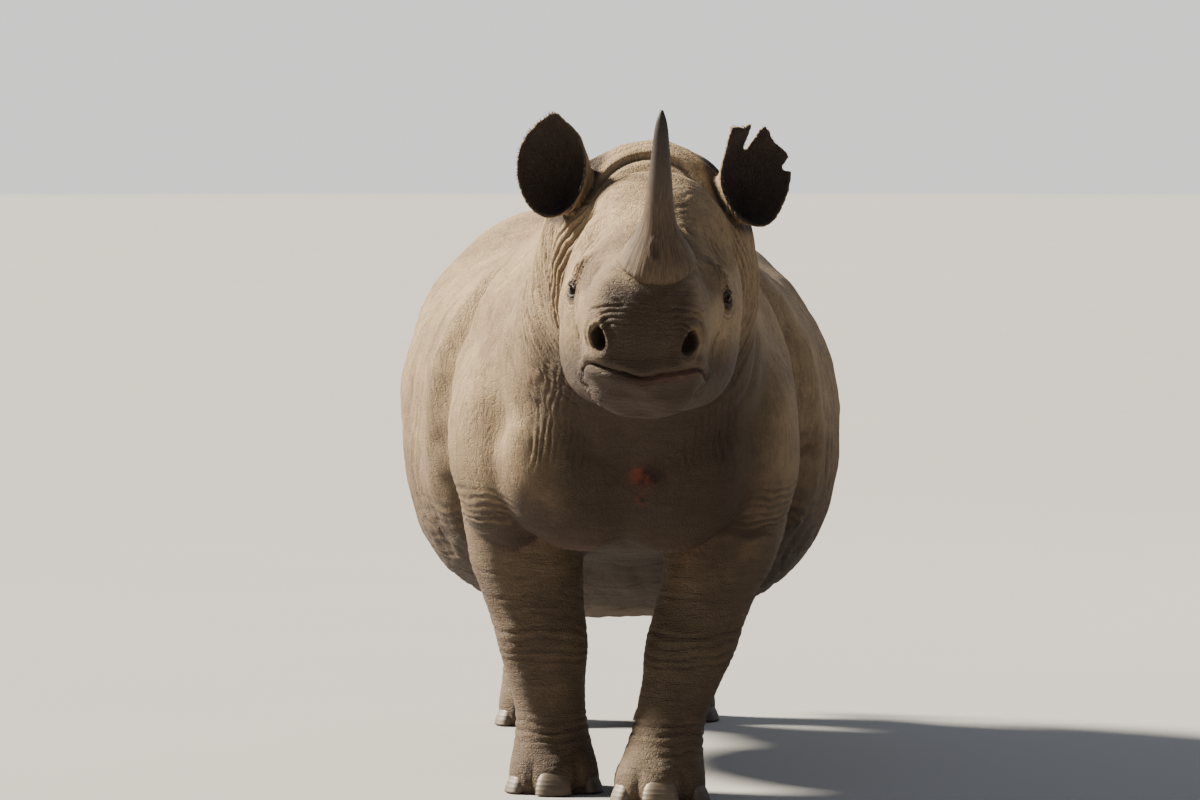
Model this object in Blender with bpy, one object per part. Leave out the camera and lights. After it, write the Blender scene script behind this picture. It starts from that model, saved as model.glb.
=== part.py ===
"""A black rhinoceros standing alert, head raised, as a still life-size model.

It faces -Y, its left side is +X and the floor is z = 0. The flesh is modelled whole, from
lofts and muscle masses joined by a voxel remesh, and is then parted by thin cuts into head,
neck, trunk, tail and legs. Ears, eyes, horns and toenails are solids of their own, and each
sits in a socket that leaves it a thin clearance. All sizes are metres.
"""

import math

import bmesh
import bpy
import numpy as np
from mathutils import Matrix, Vector

# Driving dimensions
GAP = 0.0004  # clearance between two solids that touch
VOXEL = 0.013  # grain of the remesh that joins the masses
FLESH_TRIANGLES = 4000  # of the flesh, before it is parted
SOLE_ROUND = 0.009  # edge of a sole that is levelled down to the floor
EYE_LEVEL = 1.306  # height of the eyes above the floor
HEAD_PITCH = math.radians(15)  # nose down from level
HEAD_YAW = math.radians(2)  # nose towards the animal's right
HEAD_ROLL = math.radians(3)  # crown towards the animal's left
EYES = Vector((0.056, -1.64, EYE_LEVEL))  # midway between the eyes
EYE_RADIUS = 0.023
EYE_SPREAD = 0.168  # from the middle of the head to an eyeball's centre
CUT_HEAD = ((-1.185, 1.65), (-1.30, 1.05))  # where the head meets the neck, as (y, z)
CUT_TAIL_Y = 1.235  # where the tail leaves the rump

# Trunk and neck from rump to nape. Each station is a section through a point of the back
# line (y, z) and one of the belly line (y, z), with its half width, its shift to the left,
# how far up its widest place lies, and the roundness of its upper and lower half (2 is an
# ellipse, more is squarer).
TRUNK = (
    (1.215, 1.06, 1.205, 0.90, 0.060, -0.045, 0.50, 2.0, 2.0),
    (1.170, 1.22, 1.150, 0.78, 0.220, -0.045, 0.50, 2.0, 2.0),
    (1.060, 1.35, 1.050, 0.72, 0.345, -0.045, 0.50, 2.1, 2.1),
    (0.860, 1.44, 0.860, 0.66, 0.445, -0.045, 0.48, 2.4, 2.2),
    (0.660, 1.46, 0.640, 0.54, 0.510, -0.040, 0.47, 2.5, 2.3),
    (0.440, 1.435, 0.420, 0.42, 0.560, -0.028, 0.49, 2.5, 2.5),
    (0.200, 1.40, 0.180, 0.365, 0.583, -0.012, 0.51, 2.4, 2.6),
    (-0.040, 1.39, -0.060, 0.39, 0.570, -0.003, 0.51, 2.3, 2.6),
    (-0.270, 1.43, -0.280, 0.47, 0.520, 0.000, 0.50, 2.1, 2.5),
    (-0.480, 1.49, -0.500, 0.57, 0.445, 0.000, 0.47, 1.9, 2.4),
    (-0.660, 1.505, -0.760, 0.62, 0.385, 0.004, 0.45, 1.8, 2.2),
    (-0.820, 1.495, -0.960, 0.74, 0.335, 0.012, 0.46, 1.8, 2.1),
    (-0.950, 1.52, -1.080, 0.87, 0.300, 0.026, 0.48, 1.9, 2.0),
    (-1.060, 1.60, -1.170, 0.97, 0.282, 0.042, 0.48, 2.0, 2.0),
    (-1.170, 1.66, -1.270, 1.04, 0.268, 0.054, 0.48, 2.0, 2.0),
    (-1.270, 1.65, -1.360, 1.08, 0.245, 0.060, 0.48, 2.0, 2.0),
    (-1.350, 1.56, -1.430, 1.13, 0.200, 0.062, 0.48, 2.0, 2.0),
    (-1.400, 1.46, -1.450, 1.20, 0.110, 0.062, 0.50, 2.0, 2.0),
)

# Head from nape to lip, in its own frame: how far forward of the eyes, the heights of its
# top and underside, half width, height of the widest place, and roundness above and below.
HEAD = (
    (-0.440, 0.080, -0.100, 0.080, 0.000, 2.0, 2.0),
    (-0.390, 0.165, -0.190, 0.150, 0.000, 2.0, 2.0),
    (-0.320, 0.213, -0.255, 0.186, -0.010, 2.2, 2.1),
    (-0.240, 0.206, -0.290, 0.208, -0.060, 2.1, 2.8),
    (-0.150, 0.184, -0.302, 0.218, -0.095, 1.9, 3.4),
    (-0.070, 0.166, -0.302, 0.213, -0.100, 1.9, 3.6),
    (0.010, 0.156, -0.288, 0.198, -0.090, 2.0, 3.6),
    (0.080, 0.150, -0.266, 0.173, -0.070, 2.2, 3.5),
    (0.150, 0.150, -0.246, 0.153, -0.050, 2.5, 3.3),
    (0.215, 0.142, -0.232, 0.143, -0.040, 2.7, 3.1),
    (0.268, 0.112, -0.220, 0.134, -0.045, 2.6, 2.8),
    (0.305, 0.062, -0.192, 0.110, -0.055, 2.4, 2.2),
    (0.328, 0.005, -0.160, 0.072, -0.070, 2.2, 2.0),
    (0.338, -0.040, -0.110, 0.025, -0.075, 2.0, 2.0),
)

# Legs from body to sole: centre (x, y, z), half width and half depth. The hind leg is
# given for the left side.
FORELEG_RIGHT = (
    (-0.270, -0.640, 0.960, 0.150, 0.210),
    (-0.272, -0.630, 0.760, 0.150, 0.190),
    (-0.250, -0.635, 0.600, 0.143, 0.165),
    (-0.228, -0.650, 0.480, 0.124, 0.130),
    (-0.212, -0.665, 0.375, 0.116, 0.115),
    (-0.200, -0.668, 0.290, 0.100, 0.102),
    (-0.189, -0.665, 0.200, 0.090, 0.096),
    (-0.184, -0.670, 0.130, 0.097, 0.107),
    (-0.181, -0.682, 0.065, 0.112, 0.126),
    (-0.180, -0.686, 0.020, 0.114, 0.130),
    (-0.180, -0.686, 0.000, 0.104, 0.120),
)
FORELEG_LEFT = (
    (0.270, -0.650, 0.960, 0.150, 0.210),
    (0.268, -0.650, 0.760, 0.150, 0.190),
    (0.240, -0.685, 0.600, 0.143, 0.165),
    (0.203, -0.725, 0.480, 0.124, 0.130),
    (0.168, -0.770, 0.375, 0.116, 0.115),
    (0.143, -0.800, 0.290, 0.100, 0.102),
    (0.115, -0.828, 0.200, 0.090, 0.096),
    (0.100, -0.850, 0.130, 0.097, 0.107),
    (0.090, -0.866, 0.065, 0.112, 0.126),
    (0.088, -0.870, 0.020, 0.114, 0.130),
    (0.088, -0.870, 0.000, 0.104, 0.120),
)
HINDLEG = (
    (0.270, 0.800, 1.020, 0.185, 0.280),
    (0.285, 0.800, 0.820, 0.178, 0.255),
    (0.280, 0.825, 0.670, 0.150, 0.205),
    (0.270, 0.890, 0.540, 0.116, 0.150),
    (0.262, 0.955, 0.440, 0.100, 0.122),
    (0.256, 0.955, 0.340, 0.090, 0.102),
    (0.252, 0.920, 0.220, 0.086, 0.092),
    (0.250, 0.885, 0.130, 0.094, 0.104),
    (0.250, 0.864, 0.065, 0.107, 0.122),
    (0.250, 0.858, 0.020, 0.109, 0.126),
    (0.250, 0.858, 0.000, 0.099, 0.116),
)
RUMP_SHIFT = -0.045  # the rump stands a little to the right of the shoulders
HIND_FEET = {"left": (-0.055, 0.05), "right": (0.060, -0.05)}  # where each foot is set

# Tail from root to tuft: centre (x, y, z), half width and half depth.
TAIL = (
    (-0.045, 1.080, 1.270, 0.060, 0.060),
    (-0.045, 1.190, 1.240, 0.050, 0.045),
    (-0.048, 1.265, 1.160, 0.038, 0.034),
    (-0.054, 1.300, 1.030, 0.030, 0.028),
    (-0.062, 1.305, 0.880, 0.025, 0.024),
    (-0.068, 1.298, 0.740, 0.022, 0.023),
    (-0.072, 1.290, 0.640, 0.019, 0.030),
    (-0.074, 1.284, 0.560, 0.015, 0.034),
    (-0.075, 1.280, 0.500, 0.010, 0.022),
)

# Muscle masses: centre (x, y, z), radii and forward lean in degrees. Those off the middle
# are on both sides.
MUSCLES = (
    ("shoulder blade", (0.235, -0.590, 1.050), (0.150, 0.250, 0.310), 14),
    ("upper arm", (0.285, -0.680, 0.900), (0.165, 0.250, 0.300), -18),
    ("elbow", (0.285, -0.560, 0.710), (0.130, 0.170, 0.180), 0),
    ("breast", (0.110, -0.920, 0.850), (0.210, 0.150, 0.230), 20),
    ("haunch", (0.260, 0.780, 1.020), (0.210, 0.310, 0.360), -8),
    ("thigh", (0.290, 0.800, 0.800), (0.185, 0.270, 0.290), -10),
    ("stifle", (0.320, 0.600, 0.720), (0.120, 0.140, 0.170), 10),
)

# Soft moves of the head's surface, in the head's frame: centre (left, forward, up), reach,
# and the move. Those off the middle are mirrored.
HEAD_MOVES = (
    ("brow", (0.165, -0.005, 0.058), 0.055, (0.014, 0.000, 0.008)),
    ("temple", (0.165, -0.130, 0.090), 0.085, (-0.016, 0.000, -0.010)),
    ("cheekbone", (0.205, -0.075, -0.040), 0.080, (0.010, 0.000, 0.000)),
    ("nasal hollow", (0.125, 0.095, 0.065), 0.065, (-0.016, 0.000, -0.004)),
    ("cheek hollow", (0.150, 0.110, -0.100), 0.080, (-0.012, 0.000, 0.000)),
    ("horn seat", (0.000, 0.185, 0.145), 0.110, (0.000, 0.000, 0.012)),
    ("nostril wing", (0.120, 0.262, -0.030), 0.050, (0.012, 0.010, 0.004)),
    ("nostril", (0.104, 0.300, -0.034), 0.026, (-0.016, -0.030, 0.000)),
    ("lip tip", (0.000, 0.335, -0.105), 0.060, (0.000, 0.012, -0.018)),
    ("mouth corner", (0.125, 0.190, -0.106), 0.035, (-0.012, 0.000, 0.000)),
    ("lower lip", (0.000, 0.300, -0.200), 0.070, (0.000, -0.020, 0.000)),
    ("chin", (0.000, 0.220, -0.250), 0.080, (0.000, 0.010, -0.003)),
)

# Ears. The rim is an oval with a point, seen from the front, and the cup narrows to a root
# inside the head.
EAR_HALF_WIDTH = 0.083
EAR_UP = 0.106
EAR_DOWN = 0.123
EAR_POINT = 0.018
EAR_DEPTH = 0.105
EAR_WALL = 0.009
EAR_ROOT = Vector((0.062, -0.072, 0.0))  # towards the head and down, from the rim's middle
EARS = {  # rim's middle, turn outwards, lean outwards
    "ear_right": (Vector((-0.182, -1.352, 1.608)), math.radians(14), math.radians(1)),
    "ear_left": (Vector((0.319, -1.352, 1.586)), math.radians(14), math.radians(-1)),
}
# Tears in the left ear's rim: place round the rim from its top, outwards, then half width
# and depth as shares of the way to the root.
EAR_TEARS = (
    (4, 9, 0.44),
    (17, 9, -0.05),
    (42, 20, 0.05),
    (79, 9, 0.13),
    (128, 40, 0.05),
    (-98, 40, 0.16),
    (-46, 30, -0.27),
)

# Horns in the head's frame: how far forward and left the base is, height of its seat, length, lean
# forward at the base and at the tip, lean to the left, and half width and half length of
# the base.
HORNS = {
    "horn_front": (0.180, 0.018, 0.134, 0.379, 14, -8, -1.6, 0.086, 0.100),
    "horn_rear": (-0.030, 0.008, 0.132, 0.180, 2, -12, 0, 0.064, 0.076),
}
# How a horn tapers: share of its length, share of its base size.
HORN_TAPER = (
    (0.00, 1.00),
    (0.04, 1.00),
    (0.08, 0.93),
    (0.14, 0.77),
    (0.20, 0.63),
    (0.26, 0.52),
    (0.32, 0.45),
    (0.43, 0.38),
    (0.66, 0.285),
    (0.88, 0.19),
    (0.96, 0.12),
    (1.00, 0.04),
)

# Toenails: the middle one faces forward, and one stands each side of it.
NAIL_TURNS = (-58, 0, 58)
NAIL_HALF_WIDTH = (0.034, 0.046, 0.034)
NAIL_HALF_HEIGHT = 0.046
NAIL_HALF_THICKNESS = 0.017
NAIL_CLEAR_OF_FLOOR = 0.003

COLOURS = {  # base colour and roughness
    "hide": ((0.36, 0.30, 0.23), 0.9),
    "ear": ((0.20, 0.17, 0.14), 0.9),
    "horn": ((0.16, 0.135, 0.12), 0.6),
    "nail": ((0.20, 0.17, 0.14), 0.6),
    "eye": ((0.02, 0.012, 0.008), 0.1),
}


def material(name):
    """One plain finish of COLOURS."""
    found = bpy.data.materials.get(name)
    if found:
        return found
    colour, roughness = COLOURS[name]
    made = bpy.data.materials.new(name)
    made.use_nodes = True
    shader = made.node_tree.nodes["Principled BSDF"]
    shader.inputs["Base Color"].default_value = (*colour, 1)
    shader.inputs["Roughness"].default_value = roughness
    shader.inputs["Metallic"].default_value = 0
    return made


def stations_between(rows, count):
    """A Catmull-Rom curve through the rows, read at count even steps."""
    rows = np.array(rows, float)
    padded = np.vstack([2 * rows[0] - rows[1], rows, 2 * rows[-1] - rows[-2]])
    at = np.linspace(0, len(rows) - 1, count)
    low = np.minimum(at.astype(int), len(rows) - 2)
    t = (at - low)[:, None]
    a, b, c, d = (padded[low + i] for i in range(4))
    cubic = 3 * (b - c) + d - a
    square = 2 * a - 5 * b + 4 * c - d
    return 0.5 * (2 * b + (c - a) * t + square * t**2 + cubic * t**3)


def section(half_width, widest, round_up, round_down, columns):
    """One closed section as (side, share of the height): a superellipse whose upper and
    lower halves have their own roundness and meet at the widest place."""
    turn = np.linspace(0, 2 * math.pi, columns, endpoint=False)
    across, up = np.cos(turn), np.sin(turn)
    power = 2 / np.where(up >= 0, round_up, round_down)
    side = half_width * np.sign(across) * np.abs(across) ** power
    rise = np.abs(up) ** power
    share = np.where(up >= 0, widest + (1 - widest) * rise, widest * (1 - rise))
    return side, share


def trunk_rings(rings=64, columns=40):
    """Sections of trunk and neck, each in the plane through its back and belly points."""
    made = []
    for top_y, top_z, low_y, low_z, wide, shift, widest, up, down in stations_between(
        TRUNK, rings
    ):
        side, share = section(wide, widest, up, down, columns)
        y = low_y + (top_y - low_y) * share
        z = low_z + (top_z - low_z) * share
        made.append(np.stack([side + shift, y, z], axis=1))
    return made


def head_rings(rings=50, columns=40):
    """Sections of the head, in the head's frame, each square to its length."""
    made = []
    for ahead, top, low, wide, middle, up, down in stations_between(HEAD, rings):
        widest = (middle - low) / (top - low)
        side, share = section(wide, widest, up, down, columns)
        forward = np.full_like(side, -ahead)
        made.append(np.stack([side, forward, low + (top - low) * share], axis=1))
    return made


def limb_rings(rows, rings=34, columns=28, squareness=2.3):
    """Level sections of a leg or the tail."""
    made = []
    turn = np.linspace(0, 2 * math.pi, columns, endpoint=False)
    across, along = np.cos(turn), np.sin(turn)
    power = 2 / squareness
    across = np.sign(across) * np.abs(across) ** power
    along = np.sign(along) * np.abs(along) ** power
    for x, y, z, wide, deep in stations_between(rows, rings):
        height = np.full_like(across, max(z, 0.0))
        made.append(np.stack([x + wide * across, y + deep * along, height], axis=1))
    return made


def head_to_world():
    """Places the head's frame: x is left, -y is forward and z is up."""
    turn = Matrix.Rotation(-HEAD_YAW, 4, "Z") @ Matrix.Rotation(HEAD_ROLL, 4, "Y")
    return Matrix.Translation(EYES) @ turn @ Matrix.Rotation(HEAD_PITCH, 4, "X")


def add_loft(mesh, rings):
    """Bridges the rings into a closed tube with flat ends."""
    loops = []
    for ring in rings:
        corners = [mesh.verts.new(point) for point in ring]
        ends = zip(corners, corners[1:] + corners[:1])
        loops.append([mesh.edges.new(pair) for pair in ends])
        if ring is rings[0] or ring is rings[-1]:
            mesh.faces.new(corners)
    for first, second in zip(loops, loops[1:]):
        bmesh.ops.bridge_loops(mesh, edges=first + second)


def add_ellipsoid(mesh, centre, radii, lean):
    """A muscle mass, leaning forward by so many degrees."""
    place = Matrix.Translation(centre) @ Matrix.Rotation(math.radians(lean), 4, "X")
    place = place @ Matrix.Diagonal((*radii, 1))
    bmesh.ops.create_uvsphere(
        mesh, u_segments=28, v_segments=18, radius=1, matrix=place
    )


def hind_leg(side):
    """The rows of one hind leg, moved over with the rump, its foot set inwards and along."""
    inwards, along = HIND_FEET[side]
    flip = 1 if side == "left" else -1
    top = HINDLEG[0][2]
    made = []
    for x, y, z, wide, deep in HINDLEG:
        low = 1 - z / top
        made.append((flip * x + RUMP_SHIFT + inwards * low, y + along * low, z, wide, deep))
    return made


def new_object(name, mesh_data, finish=None):
    made = bpy.data.objects.new(name, mesh_data)
    bpy.context.scene.collection.objects.link(made)
    if finish:
        mesh_data.materials.clear()
        mesh_data.materials.append(material(finish))
    return made


def object_from(name, mesh, finish=None):
    """Turns a bmesh into an object, its faces facing out."""
    bmesh.ops.recalc_face_normals(mesh, faces=mesh.faces[:])
    if mesh.calc_volume(signed=True) < 0:
        bmesh.ops.reverse_faces(mesh, faces=mesh.faces[:])
    data = bpy.data.meshes.new(name)
    mesh.to_mesh(data)
    mesh.free()
    return new_object(name, data, finish)


def helper(made):
    """Marks a cutter, which is no part of the animal."""
    made.hide_render = True
    made.display_type = "WIRE"
    return made


def evaluated_mesh(made):
    """The object's mesh with its modifiers applied."""
    graph = bpy.context.evaluated_depsgraph_get()
    return bpy.data.meshes.new_from_object(made.evaluated_get(graph))


def all_masses():
    """Every loft and muscle mass, overlapping, in one mesh."""
    mesh = bmesh.new()
    add_loft(mesh, trunk_rings())
    place = head_to_world()
    head = [[place @ Vector(point) for point in ring] for ring in head_rings()]
    add_loft(mesh, head)
    for rows in (FORELEG_LEFT, FORELEG_RIGHT):
        add_loft(mesh, limb_rings(rows))
    for side in HIND_FEET:
        add_loft(mesh, limb_rings(hind_leg(side)))
    add_loft(mesh, limb_rings(TAIL, columns=16, squareness=2.0))
    for _, (x, y, z), radii, lean in MUSCLES:
        over = RUMP_SHIFT if y > 0 else 0.0
        for side in (1, -1):
            add_ellipsoid(mesh, (side * x + over, y, z), radii, lean)
    return object_from("masses", mesh)


def move_softly(data, moves):
    """Moves the surface as each of the moves says, fading out with distance."""
    place = head_to_world()
    back = np.array(place.inverted())
    points = np.empty(len(data.vertices) * 3)
    data.vertices.foreach_get("co", points)
    points = points.reshape(-1, 3)
    local = points @ back[:3, :3].T + back[:3, 3]
    for _, (left, ahead, up), reach, (out, forward, rise) in moves:
        for side in (1, -1) if left else (1,):
            centre = np.array([side * left, -ahead, up])
            share = np.linalg.norm(local - centre, axis=1) / reach
            fade = np.clip(1 - share**2, 0, 1) ** 2
            local += fade[:, None] * np.array([side * out, -forward, rise])
    turned = np.array(place)
    points = local @ turned[:3, :3].T + turned[:3, 3]
    data.vertices.foreach_set("co", points.ravel())
    data.update()


def level_soles(data):
    """Flattens what the smoothing rounded at the floor, so that each sole is a flat."""
    for vertex in data.vertices:
        if vertex.co.z < SOLE_ROUND:
            vertex.co.z = 0.0


def whole_flesh():
    """The masses joined, smoothed, shaped at the head and thinned to few triangles, with
    the head kept finer than the trunk."""
    masses = helper(all_masses())
    remesh = masses.modifiers.new("join", "REMESH")
    remesh.mode = "VOXEL"
    remesh.voxel_size = VOXEL
    smooth = masses.modifiers.new("blend", "SMOOTH")
    smooth.factor = 0.5
    smooth.iterations = 10
    data = evaluated_mesh(masses)
    move_softly(data, HEAD_MOVES)
    level_soles(data)
    flesh = helper(new_object("flesh", data))
    coarse = flesh.vertex_groups.new(name="coarse")
    for vertex in data.vertices:
        place = vertex.co
        past_head = min(max((place.y + 1.36) / 0.2, 0.0), 1.0)
        is_tail = 0.15 if place.y > CUT_TAIL_Y else 0.0
        coarse.add([vertex.index], 0.88 + 0.12 * past_head - is_tail, "REPLACE")
    thin = flesh.modifiers.new("thin", "DECIMATE")
    thin.vertex_group = coarse.name
    thin.ratio = FLESH_TRIANGLES / (2 * len(data.polygons))
    thin.use_collapse_triangulate = True
    made = evaluated_mesh(flesh)
    level_soles(made)
    bpy.data.objects.remove(masses)
    bpy.data.objects.remove(flesh)
    return made


def cell(name, planes):
    """A block bounded by the planes, each a point and the direction that is cut away."""
    mesh = bmesh.new()
    bmesh.ops.create_cube(mesh, size=6)
    for point, outwards in planes:
        geometry = mesh.verts[:] + mesh.edges[:] + mesh.faces[:]
        cut = bmesh.ops.bisect_plane(
            mesh, geom=geometry, plane_co=point, plane_no=outwards, clear_outer=True
        )
        rim = [item for item in cut["geom_cut"] if isinstance(item, bmesh.types.BMEdge)]
        bmesh.ops.holes_fill(mesh, edges=rim)
    return helper(object_from(name, mesh))


def shifted(plane, by):
    """The plane moved back, away from the side that it cuts."""
    point, outwards = plane
    return Vector(point) - Vector(outwards).normalized() * by, outwards


def boolean(made, operation, other):
    cut = made.modifiers.new(f"{operation.lower()} {other.name}", "BOOLEAN")
    cut.operation = operation
    cut.object = other
    return cut


def plane_through(first, second, towards):
    """A plane that holds X and two points (y, z), facing the side of a third (y, z)."""
    (y0, z0), (y1, z1) = first, second
    outwards = Vector((0, z1 - z0, y0 - y1)).normalized()
    if outwards.dot(Vector((0, towards[0] - y0, towards[1] - z0))) < 0:
        outwards = -outwards
    return Vector((0, y0, z0)), outwards


def flesh_nodes():
    """Parts the flesh: each node is the whole flesh, kept inside its own cell."""
    flesh = whole_flesh()
    head_cut = plane_through(*CUT_HEAD, (0.0, 1.0))
    neck_front = (head_cut[0], -head_cut[1])
    neck_cut = plane_through((-0.83, 1.50), (-1.05, 0.85), (0.0, 1.0))
    trunk_front = (neck_cut[0], -neck_cut[1])
    fore_top = plane_through((-0.90, 0.60), (-0.45, 0.50), (-0.7, 1.5))
    hind_top = plane_through((0.45, 0.40), (1.25, 0.77), (0.8, 1.5))
    between = (-0.055, 0, 0)
    hind_ends = (((0, 0.50, 0), (0, -1, 0)), ((0, 1.19, 0), (0, 1, 0)))
    limbs = {
        "foreleg_right": (fore_top, ((0, -0.42, 0), (0, 1, 0)), (between, (1, 0, 0))),
        "foreleg_left": (fore_top, ((0, -0.42, 0), (0, 1, 0)), (between, (-1, 0, 0))),
        "hindleg_right": (hind_top, *hind_ends, (between, (1, 0, 0))),
        "hindleg_left": (hind_top, *hind_ends, (between, (-1, 0, 0))),
        "tail": (((0, CUT_TAIL_Y, 0), (0, -1, 0)),),
    }
    nodes = {}

    def node(name, planes):
        made = new_object(name, flesh.copy(), "hide")
        boolean(made, "INTERSECT", cell(name + "_cell", planes))
        nodes[name] = made
        return made

    node("head", [shifted(head_cut, GAP / 2)])
    node("neck", [shifted(neck_front, GAP / 2), shifted(neck_cut, GAP / 2)])
    trunk = node("trunk", [shifted(trunk_front, GAP / 2)])
    for name, planes in limbs.items():
        node(name, [shifted(plane, GAP) for plane in planes])
        boolean(trunk, "DIFFERENCE", cell(name + "_room", planes))
    return nodes


def ear_rim(turn):
    """The rim as (outwards, up) for an angle from its top: an oval, longer below, with a
    point at the top."""
    out, up = np.sin(turn), np.cos(turn)
    tall = np.where(up >= 0, EAR_UP, EAR_DOWN)
    point = EAR_POINT * np.clip(1 - np.abs(turn) / 0.55, 0, 1) ** 1.5
    return EAR_HALF_WIDTH * out, tall * up + point


def ear_cup(torn, columns=48, rows=6):
    """The inside of an ear as rows of points from root to rim: each row is the rim drawn in
    towards the root and sunk back. Tears shorten the way to the rim."""
    turn = np.linspace(-math.pi, math.pi, columns, endpoint=False)
    out, up = ear_rim(turn)
    cut = np.zeros_like(turn)
    for at, half, depth in EAR_TEARS if torn else ():
        cut += depth * np.clip(1 - np.abs(np.degrees(turn) - at) / half, 0, 1)
    made = []
    for share in np.linspace(0.10, 1.0, rows):
        along = share * (1 - cut * share)
        cup = -EAR_DEPTH * (1 - np.minimum(along, 1) ** 1.7)
        curl = 0.018 * np.cos(turn) * along**2
        drawn = np.stack([out, up], axis=1) * along[:, None]
        middle = np.array([-EAR_ROOT.x, EAR_ROOT.y]) * (1 - along[:, None])
        made.append(np.column_stack([drawn + middle, cup - curl]))
    return np.array(made)


def ear_place(name):
    """Maps (outwards, up, forward) of an ear to the world."""
    centre, turn_out, lean_out = EARS[name]
    side = -1 if name.endswith("right") else 1
    outwards = Vector((side, 0, 0))
    turned = Matrix.Rotation(side * turn_out, 3, "Z") @ Matrix.Rotation(
        side * lean_out, 3, "Y"
    )
    axes = [turned @ outwards, turned @ Vector((0, 0, 1)), turned @ Vector((0, -1, 0))]
    return np.array(centre), np.array([list(axis) for axis in axes])


def grid_normals(grid):
    """Unit normals of rows of points that close on themselves."""
    round_it = np.roll(grid, -1, axis=1) - np.roll(grid, 1, axis=1)
    along = np.gradient(grid, axis=0)
    normal = np.cross(round_it, along)
    return normal / np.linalg.norm(normal, axis=2)[:, :, None]


def ear(name, wall, filled=False):
    """An ear as a closed cup with a wall, or as a filled plug for the head's socket."""
    centre, axes = ear_place(name)
    inner = ear_cup(torn=name == "ear_left") @ axes + centre
    outwards = grid_normals(inner)
    if np.mean((outwards @ axes[2])[0]) > 0:
        outwards = -outwards
    thick = np.linspace(1.6, 0.75, len(inner))[:, None, None]
    outer = inner + outwards * wall * thick
    before_root, past_rim = outer[0] - axes[2] * wall / 4, outer[-1] + axes[2] * wall
    rows = [before_root, *outer, past_rim] if filled else [*outer, *inner[::-1]]
    mesh = bmesh.new()
    add_loft(mesh, rows)
    bmesh.ops.triangulate(mesh, faces=mesh.faces[:])
    return object_from(name if not filled else name + "_socket", mesh, "ear")


def horn_rings(name, swell=0.0, columns=16, rings=12):
    """Round sections along a horn's curve, whose lean changes evenly from base to tip."""
    ahead, left, seat, length, base_lean, tip_lean, lean_left, wide, long = HORNS[name]
    aside = math.tan(math.radians(lean_left))
    shares, sizes = np.array(HORN_TAPER).T
    at = np.linspace(0, 1, rings) ** 1.25
    at[-1] = 1
    turn = np.linspace(0, 2 * math.pi, columns, endpoint=False)
    place = head_to_world()
    made = []
    spot = Vector((left, -ahead, seat))
    before = 0.0
    for share in at:
        lean = math.radians(base_lean + (tip_lean - base_lean) * share)
        along = Vector((aside * share, -math.sin(lean), math.cos(lean)))
        spot = spot + along * (share - before) * length
        before = share
        size = float(np.interp(share, shares, sizes))
        round_off = size * (long * (1 - share) + wide * share)
        front = Vector((0, -math.cos(lean), -math.sin(lean))) * (round_off + swell)
        across = Vector((size * wide + swell, 0, 0))
        ring = [
            place @ (spot + across * math.cos(t) + front * math.sin(t)) for t in turn
        ]
        made.append(ring)
    if swell:
        down = (made[0][0] - made[1][0]).normalized() * swell
        made[0] = [point + down for point in made[0]]
    return made


def horn(name, swell=0.0):
    mesh = bmesh.new()
    add_loft(mesh, horn_rings(name, swell))
    bmesh.ops.triangulate(mesh, faces=mesh.faces[:])
    return object_from(name if not swell else name + "_socket", mesh, "horn")


def eye(side, swell=0.0):
    """An eyeball in the head's frame, side 1 for the left."""
    name = "eye_left" if side > 0 else "eye_right"
    mesh = bmesh.new()
    place = head_to_world() @ Matrix.Translation((side * EYE_SPREAD, 0, 0))
    bmesh.ops.create_uvsphere(
        mesh, u_segments=12, v_segments=8, radius=EYE_RADIUS + swell, matrix=place
    )
    return object_from(name if not swell else name + "_socket", mesh, "eye")


def nail(name, sole, turn, half_width, swell=0.0):
    """A toenail: a flattened ellipsoid let into the foot, cut level just above the floor."""
    x, y, _, wide, deep = sole
    angle = math.radians(turn)
    inset = 0.002
    centre = Vector(
        (x + (wide - inset) * math.sin(angle), y - (deep - inset) * math.cos(angle), 0.030)
    )
    facing = math.atan2(math.sin(angle) / wide, math.cos(angle) / deep)
    place = Matrix.Translation(centre) @ Matrix.Rotation(facing, 4, "Z")
    place = place @ Matrix.Rotation(math.radians(-14), 4, "X")
    radii = (
        half_width + swell,
        NAIL_HALF_THICKNESS + swell,
        NAIL_HALF_HEIGHT + swell,
    )
    mesh = bmesh.new()
    bmesh.ops.create_uvsphere(
        mesh,
        u_segments=8,
        v_segments=6,
        radius=1,
        matrix=place @ Matrix.Diagonal((*radii, 1)),
    )
    floor = NAIL_CLEAR_OF_FLOOR - (0.1 if swell else 0.0)
    geometry = mesh.verts[:] + mesh.edges[:] + mesh.faces[:]
    cut = bmesh.ops.bisect_plane(
        mesh, geom=geometry, plane_co=(0, 0, floor), plane_no=(0, 0, -1), clear_outer=True
    )
    rim = [item for item in cut["geom_cut"] if isinstance(item, bmesh.types.BMEdge)]
    if rim:
        bmesh.ops.holes_fill(mesh, edges=rim)
    return object_from(name, mesh, "nail")


def soles():
    """The widest low station of each foot."""
    return {
        "foreleg_right": FORELEG_RIGHT[-2],
        "foreleg_left": FORELEG_LEFT[-2],
        "hindleg_right": hind_leg("right")[-2],
        "hindleg_left": hind_leg("left")[-2],
    }


def fit_into(host, socket):
    """Leaves room in the host for a solid, shaped by its swollen copy."""
    boolean(host, "DIFFERENCE", helper(socket))


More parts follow.
